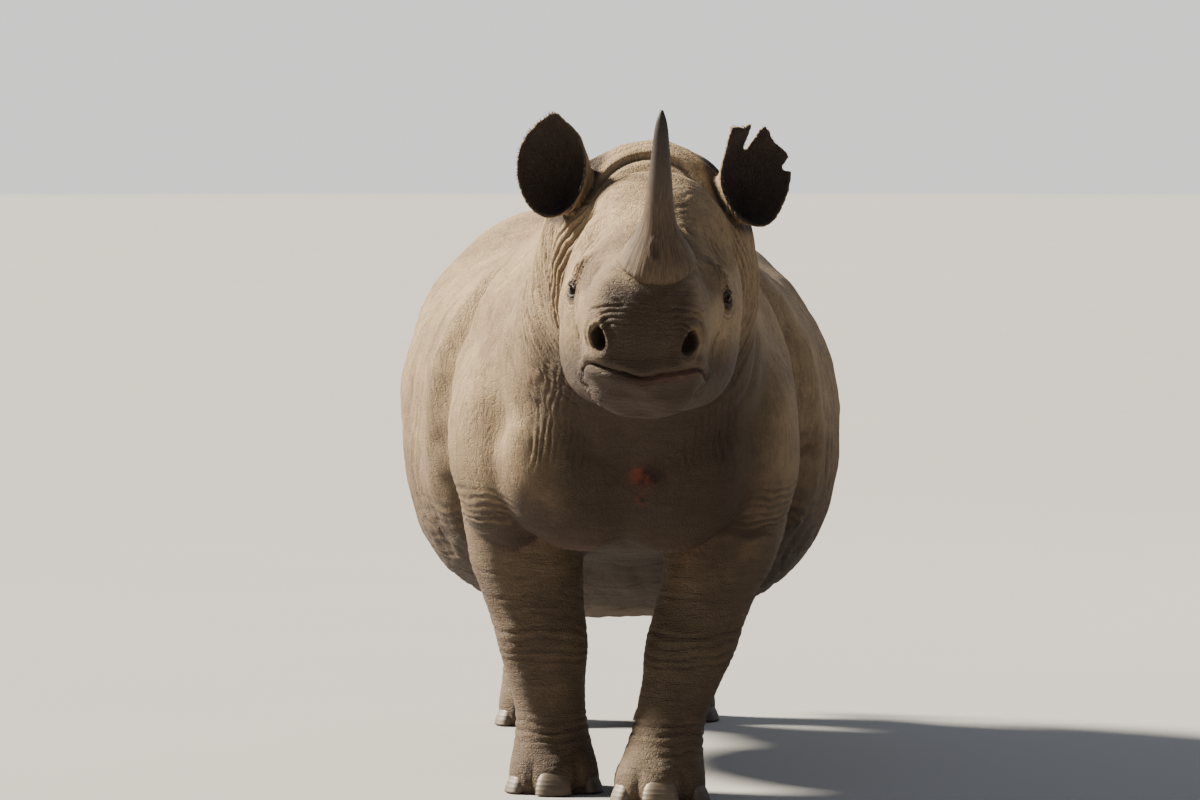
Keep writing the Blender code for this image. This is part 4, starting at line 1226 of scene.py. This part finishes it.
def nail_grid(sole, turn, half_width, rings=26, columns=48):
    """A nail: a flattened dome, square across and narrower at the top, with shallow growth
    rings; sections are superellipses that shrink with height."""
    x, y, _, wide, deep = sole
    angle = math.radians(turn)
    outwards = np.array([(wide + 0.004) * math.sin(angle), -(deep + 0.004) * math.cos(angle), 0])
    facing = math.atan2(math.sin(angle) / wide, math.cos(angle) / deep)
    share = np.linspace(0, 1, rings)[:, None]
    round_ = np.linspace(0, 2 * math.pi, columns, endpoint=False)
    across = signed_power(np.cos(round_), 2 / 2.8)
    out = signed_power(np.sin(round_), 2 / 2.2)
    shrink = np.sqrt(np.clip(1 - (share * 0.985) ** 2.6, 0, 1))
    growth = 1 + 0.012 * np.sin(share * 38) * (share < 0.9)
    size = half_width * shrink * growth
    thick = 0.021 * shrink**0.7 * growth
    back = 0.030 * share**1.3 - thick * out
    local = np.stack([size * across, back, 0.0035 + 0.070 * share + 0 * out], axis=-1)
    return local @ turning("Z", facing).T + outwards + (x, y, 0)


def make_nails(foot, sole, finish):
    name = "nails_" + foot
    grids = [nail_grid(sole, turn, half) for turn, half in zip(NAIL_TURNS, NAIL_HALF_WIDTH)]
    return piece_of(name, mesh_of(name, grids), finish)


# ---------------------------------------------------------------- hairs
def hair_piece(name, roots, directions, lengths, radius, droop, charts, finish):
    """Many bristles in one mesh. Each is a three-sided spike that bends by droop towards the
    floor with the square of the way along, and is a small patch at its root's chart place."""
    rings, sides = 5, 3
    size = rings * sides
    way = np.linspace(0, 1, rings)
    spine = roots[:, None] + directions[:, None] * (lengths[:, None] * way)[..., None]
    spine[..., 2] -= droop * lengths[:, None] * way**2
    helper = np.where(np.abs(directions[:, 2:]) > 0.8, (1.0, 0.0, 0.0), (0.0, 0.0, 1.0))
    first = unit(np.cross(directions, helper))[:, None, None]
    second = np.cross(directions[:, None, None], first)
    turn = np.arange(sides)[:, None] * 2 * math.pi / sides
    thick = radius * (1 - 0.9 * way**1.5)
    ring = first * np.cos(turn) + second * np.sin(turn)
    points = spine[:, :, None] + ring * thick[None, :, None, None]
    starts = range(0, len(roots) * size, size)
    faces = [face for start in starts for face in tube_faces(rings, sides, start)]
    mesh = bpy.data.meshes.new(name)
    mesh.from_pydata(points.reshape(-1, 3).tolist(), [], faces)
    corners = np.empty(len(mesh.loops), int)
    mesh.loops.foreach_get("vertex_index", corners)
    hair, within = np.divmod(corners, size)
    patch = 0.003 * np.stack([(within % sides) / sides, (within // sides) / rings], axis=1)
    layer = mesh.uv_layers.new(name="OFBake")
    layer.data.foreach_set("uv", (charts[hair] + patch).astype(np.float32).ravel())
    return piece_of(name, mesh, finish)


def round_chart(turn, height):
    """Places on the chart: round the limb or ear from left to right, up its length."""
    return np.stack([0.05 + 0.9 * turn / (2 * math.pi), height], axis=1)


def ear_fringe(name, finish, count):
    """Short bristles along an ear's rim, longest at its point, leaning forward and out."""
    random = np.random.default_rng(len(name))
    centre, axes = ear_frame(name)
    columns = 720
    cup = ear_cup(name == "ear_left", columns, rows=12)
    place = random.integers(0, columns, count)
    turn = place / columns * 2 * math.pi - math.pi
    upper = np.cos(turn) > -0.55
    place, turn = place[upper], turn[upper]
    root = (0.98 * cup[-1, place] + 0.02 * cup[-2, place]) @ axes + centre
    outwards = unit(np.stack([np.sin(turn), np.cos(turn), 0 * turn], axis=1))
    lean = random.normal(0, 0.35, (len(turn), 3)) + (0, 0, 0.25)
    direction = unit(outwards + lean) @ axes
    longest = 0.011 if name == "ear_right" else 0.007
    lengths = random.uniform(0.003, longest, len(turn)) * (1 + 0.4 * hill(turn, 0.5))
    charts = round_chart(turn + math.pi, random.uniform(0.1, 0.9, len(turn)))
    label = "fringe_" + name
    return hair_piece(label, root, direction, lengths, 0.0005, 0.05, charts, finish)


def tail_brush(finish, count=900):
    """Stiff bristles in two rows along the front and back of the tail's end."""
    random = np.random.default_rng(8)
    along = random.uniform(0, 1, count) ** 0.7
    rows = curve_through(TAIL[-4:], 200)
    here = rows[(along * 199).astype(int)]
    turn = np.where(random.uniform(size=count) < 0.5, 0, math.pi) + random.normal(0, 0.5, count)
    out = np.stack([np.sin(turn) * here[:, 3], np.cos(turn) * here[:, 4], 0 * turn], axis=1)
    root = here[:, :3] + out * 0.8
    down = np.stack([0 * turn, 0 * turn, -1 - 0.6 * along], axis=1)
    aside = unit(out) * (1.1 - 0.5 * along)[:, None]
    direction = unit(aside + down + random.normal(0, 0.15, (count, 3)))
    lengths = random.uniform(0.035, 0.085, count) * (0.55 + 0.45 * along)
    charts = round_chart(turn % (2 * math.pi), 0.05 + 0.9 * along)
    return hair_piece("tail_brush", root, direction, lengths, 0.0008, 0.25, charts, finish)


def lashes(side, finish, count=46):
    """Lashes along the upper lid, curving outwards and down."""
    random = np.random.default_rng(9)
    path, turn = lid_path(side, 1.10, 720)
    pick = random.integers(40, 320, count)
    axes = facing_frame(EYE_FACING, side)
    lean = axes[0] + axes[2] * 0.35 + random.normal(0, 0.18, (count, 3))
    lean += axes[1] * np.cos(turn[pick])[:, None] * 0.5
    lengths = random.uniform(0.007, 0.013, count)
    charts = np.stack([turn[pick] / (2 * math.pi), random.uniform(0.1, 0.9, count)], axis=1)
    root, direction = from_head(path[pick]), unit(head_direction(lean))
    name = sided("lashes", side)
    return hair_piece(name, root, direction, lengths, 0.00035, 0.5, charts, finish)


# ---------------------------------------------------------------- materials
DUST = (0.50, 0.372, 0.218)
HIDE = {
    "ground": (0.150, 0.104, 0.064),
    "browner": (0.225, 0.161, 0.099),
    "mottle": (0.310, 0.224, 0.132),
    "worn": (0.450, 0.332, 0.190),
    # painted shade for creases
    "deep": (0.075, 0.056, 0.043),
    "lines": (0.100, 0.075, 0.056),
    # dark skin and mud, and painted shade under the body, at the muzzle, nostrils and eyes
    "dark": (0.036, 0.023, 0.016),
    "flush": (0.210, 0.110, 0.078),
    "scab": (0.016, 0.006, 0.005),
    "raw": (0.120, 0.030, 0.018),
    # dark skin inside the ears, with painted shade
    "cup": (0.032, 0.024, 0.021),
}
HORN = {
    "dark": (0.031, 0.020, 0.013),
    "pale": (0.088, 0.057, 0.035),
    "tip": (0.018, 0.014, 0.013),
    "scuff": (0.240, 0.190, 0.145),
}
NAIL = {
    "dark": (0.040, 0.029, 0.022),
    "pale": (0.092, 0.069, 0.051),
    "worn": (0.17, 0.13, 0.10),
}
EYE = {
    "pupil": (0.002, 0.002, 0.002),
    "iris": (0.016, 0.008, 0.004),
    "white": (0.030, 0.022, 0.018),
}
LID = {"dark": (0.018, 0.013, 0.010), "pale": (0.055, 0.040, 0.030)}
HAIR = {"dark": (0.016, 0.012, 0.010), "pale": (0.095, 0.070, 0.052)}
FLOOR = {"dark": (0.29, 0.287, 0.283), "pale": (0.31, 0.307, 0.303)}


class Shader:
    """A material or node group under construction, with short words for its wiring."""

    def __init__(self, tree):
        self.tree = tree

    def add(self, kind, inputs=None, **settings):
        node = self.tree.nodes.new(kind)
        for name, value in settings.items():
            setattr(node, name, value)
        for key, value in (inputs or {}).items():
            self.feed(node.inputs[key], value)
        return node

    def feed(self, socket, value):
        if isinstance(value, bpy.types.NodeSocket):
            self.tree.links.new(value, socket)
        else:
            socket.default_value = (*value, 1) if socket.type == "RGBA" else value

    def maths(self, operation, a, b=0.0, clamp=False):
        node = self.add("ShaderNodeMath", {0: a, 1: b}, operation=operation, use_clamp=clamp)
        return node.outputs[0]

    def plus(self, a, b):
        return self.maths("ADD", a, b)

    def times(self, a, b):
        return self.maths("MULTIPLY", a, b)

    def mixed(self, share, first, second, blend="MIX"):
        node = self.add("ShaderNodeMix", data_type="RGBA", blend_type=blend)
        self.feed(node.inputs[0], share)
        self.feed(node.inputs[6], first)
        self.feed(node.inputs[7], second)
        return node.outputs[2]

    def spread(self, value, low, high, new_low=0.0, new_high=1.0):
        sockets = {0: value, 1: low, 2: high, 3: new_low, 4: new_high}
        return self.add("ShaderNodeMapRange", sockets, interpolation_type="SMOOTHSTEP").outputs[0]

    def noise(self, vector, scale, detail=3.0, rough=0.55):
        sockets = {"Vector": vector, "Scale": scale, "Detail": detail, "Roughness": rough}
        return self.add("ShaderNodeTexNoise", sockets).outputs[0]

    def attribute(self, name):
        return self.add("ShaderNodeAttribute", attribute_name=name).outputs["Fac"]

    def place(self):
        return self.add("ShaderNodeTexCoord").outputs["Object"]

    def group(self, tree, sockets):
        return self.add("ShaderNodeGroup", sockets, node_tree=tree).outputs

    def bump(self, shader, strength, distance, height):
        sockets = {"Strength": strength, "Distance": distance, "Height": height}
        self.feed(shader.inputs["Normal"], self.add("ShaderNodeBump", sockets).outputs[0])


def new_material(name, roughness):
    made = bpy.data.materials.new(name)
    made.use_nodes = True
    shader = made.node_tree.nodes["Principled BSDF"]
    shader.inputs["Roughness"].default_value = roughness
    return made, Shader(made.node_tree), shader


def new_group(name, inputs, outputs):
    """A node group with named sockets, as (tree, its inside wiring, inputs, outputs)."""
    tree = bpy.data.node_groups.new(name, "ShaderNodeTree")
    kinds = {"f": "NodeSocketFloat", "c": "NodeSocketColor", "v": "NodeSocketVector"}
    for label, kind in inputs:
        tree.interface.new_socket(label, in_out="INPUT", socket_type=kinds[kind])
    for label, kind in outputs:
        tree.interface.new_socket(label, in_out="OUTPUT", socket_type=kinds[kind])
    inside = Shader(tree)
    return tree, inside, inside.add("NodeGroupInput").outputs, inside.add("NodeGroupOutput").inputs


def dust_group():
    """Pale dust that lies thicker on what faces up and in drifting patches."""
    tree, inside, take, give = new_group(
        "dust", [("Colour", "c"), ("Place", "v"), ("Amount", "f")], [("Colour", "c")]
    )
    drift = inside.noise(take["Place"], 5.5, 5.0, 0.6)
    fine = inside.noise(take["Place"], 70.0, 3.0, 0.6)
    normal = inside.add("ShaderNodeNewGeometry").outputs["Normal"]
    up = inside.add("ShaderNodeSeparateXYZ", {0: normal}).outputs[2]
    lying = inside.spread(up, -0.5, 0.9, 0.20, 1.0)
    patch = inside.spread(inside.plus(drift, inside.times(fine, 0.35)), 0.40, 0.90)
    share = inside.maths("MULTIPLY", inside.times(patch, lying), take["Amount"], clamp=True)
    inside.feed(give["Colour"], inside.mixed(share, take["Colour"], DUST))
    return tree


def streaks_group():
    """Fine lines in the skin: noise stretched along the body's height or, where level is 1,
    across it, with a thin valley wherever it passes its middle value."""
    tree, inside, take, give = new_group(
        "streaks", [("Place", "v"), ("Level", "f")], [("Height", "f"), ("Lines", "f")]
    )
    runs = []
    for stretch, scale in (((1.0, 1.0, 0.13), 34.0), ((0.14, 0.14, 1.0), 44.0)):
        sockets = {0: take["Place"], 1: stretch}
        placed = inside.add("ShaderNodeVectorMath", sockets, operation="MULTIPLY")
        wave = inside.noise(placed.outputs[0], scale, 3.0, 0.6)
        off = inside.maths("ABSOLUTE", inside.maths("SUBTRACT", wave, 0.5))
        runs.append(inside.spread(off, 0.0, 0.055))
    sockets = {0: take["Level"], 2: runs[0], 3: runs[1]}
    height = inside.add("ShaderNodeMix", sockets, data_type="FLOAT").outputs[0]
    inside.feed(give["Height"], height)
    inside.feed(give["Lines"], inside.maths("SUBTRACT", 1.0, height, clamp=True))
    return tree


def cracks_group():
    """The fine net of cracks and pebbles of bare thick skin: distance to the edges of two
    sizes of cells, on a place that noise has warped, over slow swells."""
    tree, inside, take, give = new_group(
        "cracks", [("Place", "v"), ("Scale", "f")], [("Height", "f"), ("Cracks", "f")]
    )
    sockets = {"Vector": take["Place"], "Scale": 14.0, "Detail": 2.0}
    warp = inside.add("ShaderNodeTexNoise", sockets).outputs["Color"]
    moved = inside.mixed(0.035, take["Place"], warp, "LINEAR_LIGHT")
    nets = []
    for times, depth in ((1.0, 1.0), (2.6, 0.6)):
        scale = inside.times(take["Scale"], times)
        sockets = {"Vector": moved, "Scale": scale, "Randomness": 1.0}
        cells = inside.add("ShaderNodeTexVoronoi", sockets, feature="DISTANCE_TO_EDGE")
        edge = inside.spread(cells.outputs["Distance"], 0.0, 0.16)
        nets.append(inside.times(edge, depth))
    swell = inside.noise(take["Place"], 26.0, 5.0, 0.62)
    height = inside.plus(inside.plus(nets[0], nets[1]), inside.times(swell, 1.6))
    inside.feed(give["Height"], height)
    inside.feed(give["Cracks"], inside.maths("SUBTRACT", 1.0, nets[0], clamp=True))
    return tree


def hide_material(dust, cracks, streaks):
    """Bare hide: a grey-tan ground with browner and greyer drifts, paler where raised points are
    worn, darker in cracks and fine lines, with painted shade in creases; darkest at the muzzle,
    lips, chin, breast and legs and in the ears, where dark skin and mud lie with painted shade,
    and with painted shade alone in nostrils, eye sockets and under the body; flushed where it is
    thin."""
    made, wire, shader = new_material("hide", 0.86)
    place = wire.place()
    dark, crease = wire.attribute("dark"), wire.attribute("crease")
    drift = wire.spread(wire.noise(place, 2.6, 4.0, 0.6), 0.35, 0.65)
    mottle = wire.noise(place, 19.0, 4.0, 0.6)
    ground = wire.mixed(drift, HIDE["ground"], HIDE["browner"])
    ground = wire.mixed(wire.spread(mottle, 0.42, 0.72, 0.0, 0.35), ground, HIDE["mottle"])
    # less dust where the dark mask is strong, which deepens its painted shade
    lying = wire.spread(dark, 0.0, 0.6, 0.50, 0.10)
    powder = wire.group(dust, {"Colour": ground, "Place": place, "Amount": lying})
    net = wire.group(cracks, {"Place": place, "Scale": 92.0})
    lines = wire.group(streaks, {"Place": place, "Level": wire.attribute("level")})
    fine = wire.plus(wire.times(net["Cracks"], 0.10), wire.times(lines["Lines"], 0.28))
    raw = wire.mixed(wire.spread(mottle, 0.40, 0.62), HIDE["scab"], HIDE["raw"])
    colour = powder["Colour"]
    for share, over in (
        (wire.spread(crease, 0.47, 0.10, 0.0, 0.25), HIDE["worn"]),
        # painted shade, darker the deeper a point lies in a crease
        (wire.spread(crease, 0.54, 0.95, 0.0, 0.62), HIDE["deep"]),
        (fine, HIDE["lines"]),
        # dark skin and mud together with painted shade, from the dark mask
        (dark, HIDE["dark"]),
        (wire.attribute("flush"), HIDE["flush"]),
        (wire.times(wire.attribute("sore"), 0.9), raw),
        # the ears' dark skin with painted shade inside them
        (wire.times(wire.attribute("cup"), 0.95), HIDE["cup"]),
    ):
        colour = wire.mixed(share, colour, over)
    wire.feed(shader.inputs["Base Color"], colour)
    wire.feed(shader.inputs["Roughness"], wire.spread(dark, 0.0, 1.0, 0.88, 0.70))
    shader.inputs["Specular IOR Level"].default_value = 0.24
    wire.bump(shader, 0.75, 0.0020, wire.plus(net["Height"], wire.times(lines["Height"], 0.9)))
    return made


def horn_material(dust):
    """Horn: fibres along it from the turn round it, paler and frayed at the base, smooth and
    near black at the tip, with scuffs."""
    made, wire, shader = new_material("horn", 0.6)
    place, height = wire.place(), wire.attribute("height")
    turned = wire.times(wire.attribute("around"), 46.0)
    strand = wire.add("ShaderNodeCombineXYZ", {0: turned, 1: wire.times(height, 3.0)})
    fibre = wire.noise(strand.outputs[0], 3.0, 4.0, 0.65)
    scuff = wire.noise(place, 38.0, 5.0, 0.65)
    tone = wire.mixed(wire.spread(fibre, 0.35, 0.68), HORN["dark"], HORN["pale"])
    tone = wire.mixed(wire.spread(height, 0.30, 0.95), tone, HORN["tip"])
    tone = wire.mixed(wire.spread(scuff, 0.58, 0.80, 0.0, 0.28), tone, HORN["scuff"])
    lying = wire.spread(height, 0.01, 0.20, 0.26, 0.05)
    powder = wire.group(dust, {"Colour": tone, "Place": place, "Amount": lying})
    wire.feed(shader.inputs["Base Color"], powder["Colour"])
    wire.feed(shader.inputs["Roughness"], wire.spread(height, 0.2, 0.9, 0.76, 0.46))
    shader.inputs["Specular IOR Level"].default_value = 0.30
    ridges = wire.times(fibre, wire.spread(height, 0.0, 0.6, 1.0, 0.25))
    wire.bump(shader, 0.7, 0.003, wire.plus(ridges, wire.times(scuff, 0.3)))
    return made


def nail_material(dust):
    """Nail: grey-brown with growth lines across it and worn pale edges."""
    made, wire, shader = new_material("nail", 0.55)
    place = wire.place()
    up = wire.add("ShaderNodeSeparateXYZ", {0: place}).outputs[2]
    lines = wire.add("ShaderNodeCombineXYZ", {2: wire.times(up, 30.0)})
    growth = wire.noise(lines.outputs[0], 9.0, 3.0, 0.6)
    fine = wire.noise(place, 60.0, 4.0, 0.6)
    tone = wire.mixed(wire.spread(growth, 0.35, 0.65), NAIL["dark"], NAIL["pale"])
    tone = wire.mixed(wire.spread(fine, 0.55, 0.8, 0.0, 0.4), tone, NAIL["worn"])
    powder = wire.group(dust, {"Colour": tone, "Place": place, "Amount": 0.14})
    wire.feed(shader.inputs["Base Color"], powder["Colour"])
    wire.bump(shader, 0.5, 0.0012, wire.plus(growth, fine))
    return made


def eye_material():
    """A wet dark eye: black pupil, dark brown iris and a dull rim of white."""
    made, wire, shader = new_material("eye", 0.06)
    away = wire.attribute("from_pupil")
    colour = wire.mixed(wire.spread(away, 0.09, 0.13), EYE["pupil"], EYE["iris"])
    colour = wire.mixed(wire.spread(away, 0.24, 0.30), colour, EYE["white"])
    wire.feed(shader.inputs["Base Color"], colour)
    shader.inputs["IOR"].default_value = 1.15
    return made


def lid_material():
    """The bare moist edge of the lids."""
    made, wire, shader = new_material("lid", 0.8)
    tone = wire.noise(wire.place(), 120.0, 3.0)
    colour = wire.mixed(wire.spread(tone, 0.35, 0.7), LID["dark"], LID["pale"])
    wire.feed(shader.inputs["Base Color"], colour)
    wire.bump(shader, 0.5, 0.0008, tone)
    return made


def hair_material():
    """Coarse dark hair with browner strands among it."""
    made, wire, shader = new_material("hair", 0.55)
    strand = wire.noise(wire.place(), 90.0, 2.0)
    colour = wire.mixed(wire.spread(strand, 0.4, 0.65), HAIR["dark"], HAIR["pale"])
    wire.feed(shader.inputs["Base Color"], colour)
    return made


def floor_material():
    made, wire, shader = new_material("floor", 0.85)
    shade = wire.noise(wire.place(), 0.8, 3.0)
    wire.feed(shader.inputs["Base Color"], wire.mixed(shade, FLOOR["dark"], FLOOR["pale"]))
    return made


# ---------------------------------------------------------------- the room
VIEWPOINT = (-0.063, -15.72, 1.90)
DOWNWARDS = 3.44
SHOULDER = (0, -0.6, 0.9)
SUNLIGHT, SKYLIGHT = (1.0, 0.895, 0.73), (0.92, 0.95, 1.0)


def set_camera():
    """A long lens, level with the animal's back, looking slightly down at its face."""
    data = bpy.data.cameras.new("camera")
    data.lens = 177.75
    data.sensor_width = 36.0
    data.clip_end = 200.0
    camera = bpy.data.objects.new("camera", data)
    bpy.context.scene.collection.objects.link(camera)
    camera.location = Vector(CENTRED) + Vector(VIEWPOINT)
    camera.rotation_euler = (math.radians(90 - DOWNWARDS), 0, 0)
    bpy.context.scene.camera = camera


def hang(data, place):
    """Puts a light at a place and turns it towards the animal's shoulder."""
    light = bpy.data.objects.new(data.name, data)
    bpy.context.scene.collection.objects.link(light)
    light.location = place
    facing = Vector(SHOULDER) - Vector(place)
    light.rotation_euler = facing.to_track_quat("-Z", "Y").to_euler()


def area_light(name, place, size, power):
    data = bpy.data.lights.new(name, "AREA")
    data.shape = "DISK"
    data.size = size
    data.energy = power
    data.color = SKYLIGHT
    hang(data, place)


def set_light():
    """A warm sun high behind the animal's right side, two weak cool lights, and a surround
    that looks paler than it shines."""
    key = bpy.data.lights.new("key", "SUN")
    key.energy = 21.0
    key.angle = math.radians(9)
    key.color = SUNLIGHT
    hang(key, (-7.0, 2.4, 6.6))
    area_light("back", (3.5, 6.5, 5.0), 3.5, 140)
    area_light("fill", (3.5, -9.5, 3.4), 5.0, 24)
    world = bpy.data.worlds.new("surround")
    world.use_nodes = True
    wire = Shader(world.node_tree)
    seen = wire.add("ShaderNodeLightPath").outputs["Is Camera Ray"]
    shine, look = (
        wire.add("ShaderNodeBackground", {0: colour, 1: strength}).outputs[0]
        for colour, strength in (((0.78, 0.85, 1.00), 0.27), ((0.88, 0.87, 0.86), 1.25))
    )
    mix = wire.add("ShaderNodeMixShader", {0: seen, 1: shine, 2: look})
    wire.feed(world.node_tree.nodes["World Output"].inputs[0], mix.outputs[0])
    bpy.context.scene.world = world


def set_floor():
    """A wide pale disc."""
    radius, sides = 60, 96
    turn = np.linspace(0, 2 * math.pi, sides, endpoint=False)
    rim = np.stack([radius * np.cos(turn), radius * np.sin(turn), 0 * turn], axis=1)
    mesh = bpy.data.meshes.new("floor")
    mesh.from_pydata(rim.tolist(), [], [list(range(sides))])
    floor = piece_of("floor", mesh, floor_material(), smooth=False)


# ---------------------------------------------------------------- everything together
def settle(piece, nodes=()):
    """Moves a finished piece to the frame's origin, hangs it under the root's empty, and hides
    the parts of model.glb that it stands for.
    """
    piece.data.transform(Matrix.Translation(CENTRED))
    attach(piece, "root")
    if nodes:
        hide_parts(*nodes)


def main():
    set_camera()
    set_light()
    set_floor()
    dust, cracks, streaks = dust_group(), cracks_group(), streaks_group()
    hide, hair, lid = hide_material(dust, cracks, streaks), hair_material(), lid_material()
    horn, nail, eye = horn_material(dust), nail_material(dust), eye_material()

    limbs = ("foreleg_left", "foreleg_right", "hindleg_left", "hindleg_right")
    settle(make_skin(hide), ("head", "neck", "trunk", "tail", *limbs, *EARS))
    for name in HORNS:
        settle(make_horn(name, horn), (name,))
    for side in (1, -1):
        settle(make_eye(side, eye), (sided("eye", side),))
        settle(make_lids(side, lid))
        settle(lashes(side, hair))
    for foot, sole in foot_rows().items():
        nodes = [f"nail_{foot}_{place}" for place in ("inner", "middle", "outer")]
        settle(make_nails(foot, sole, nail), nodes)
    for name in EARS:
        settle(ear_fringe(name, hair, 480 if name == "ear_right" else 220))
    settle(tail_brush(hair))


main()
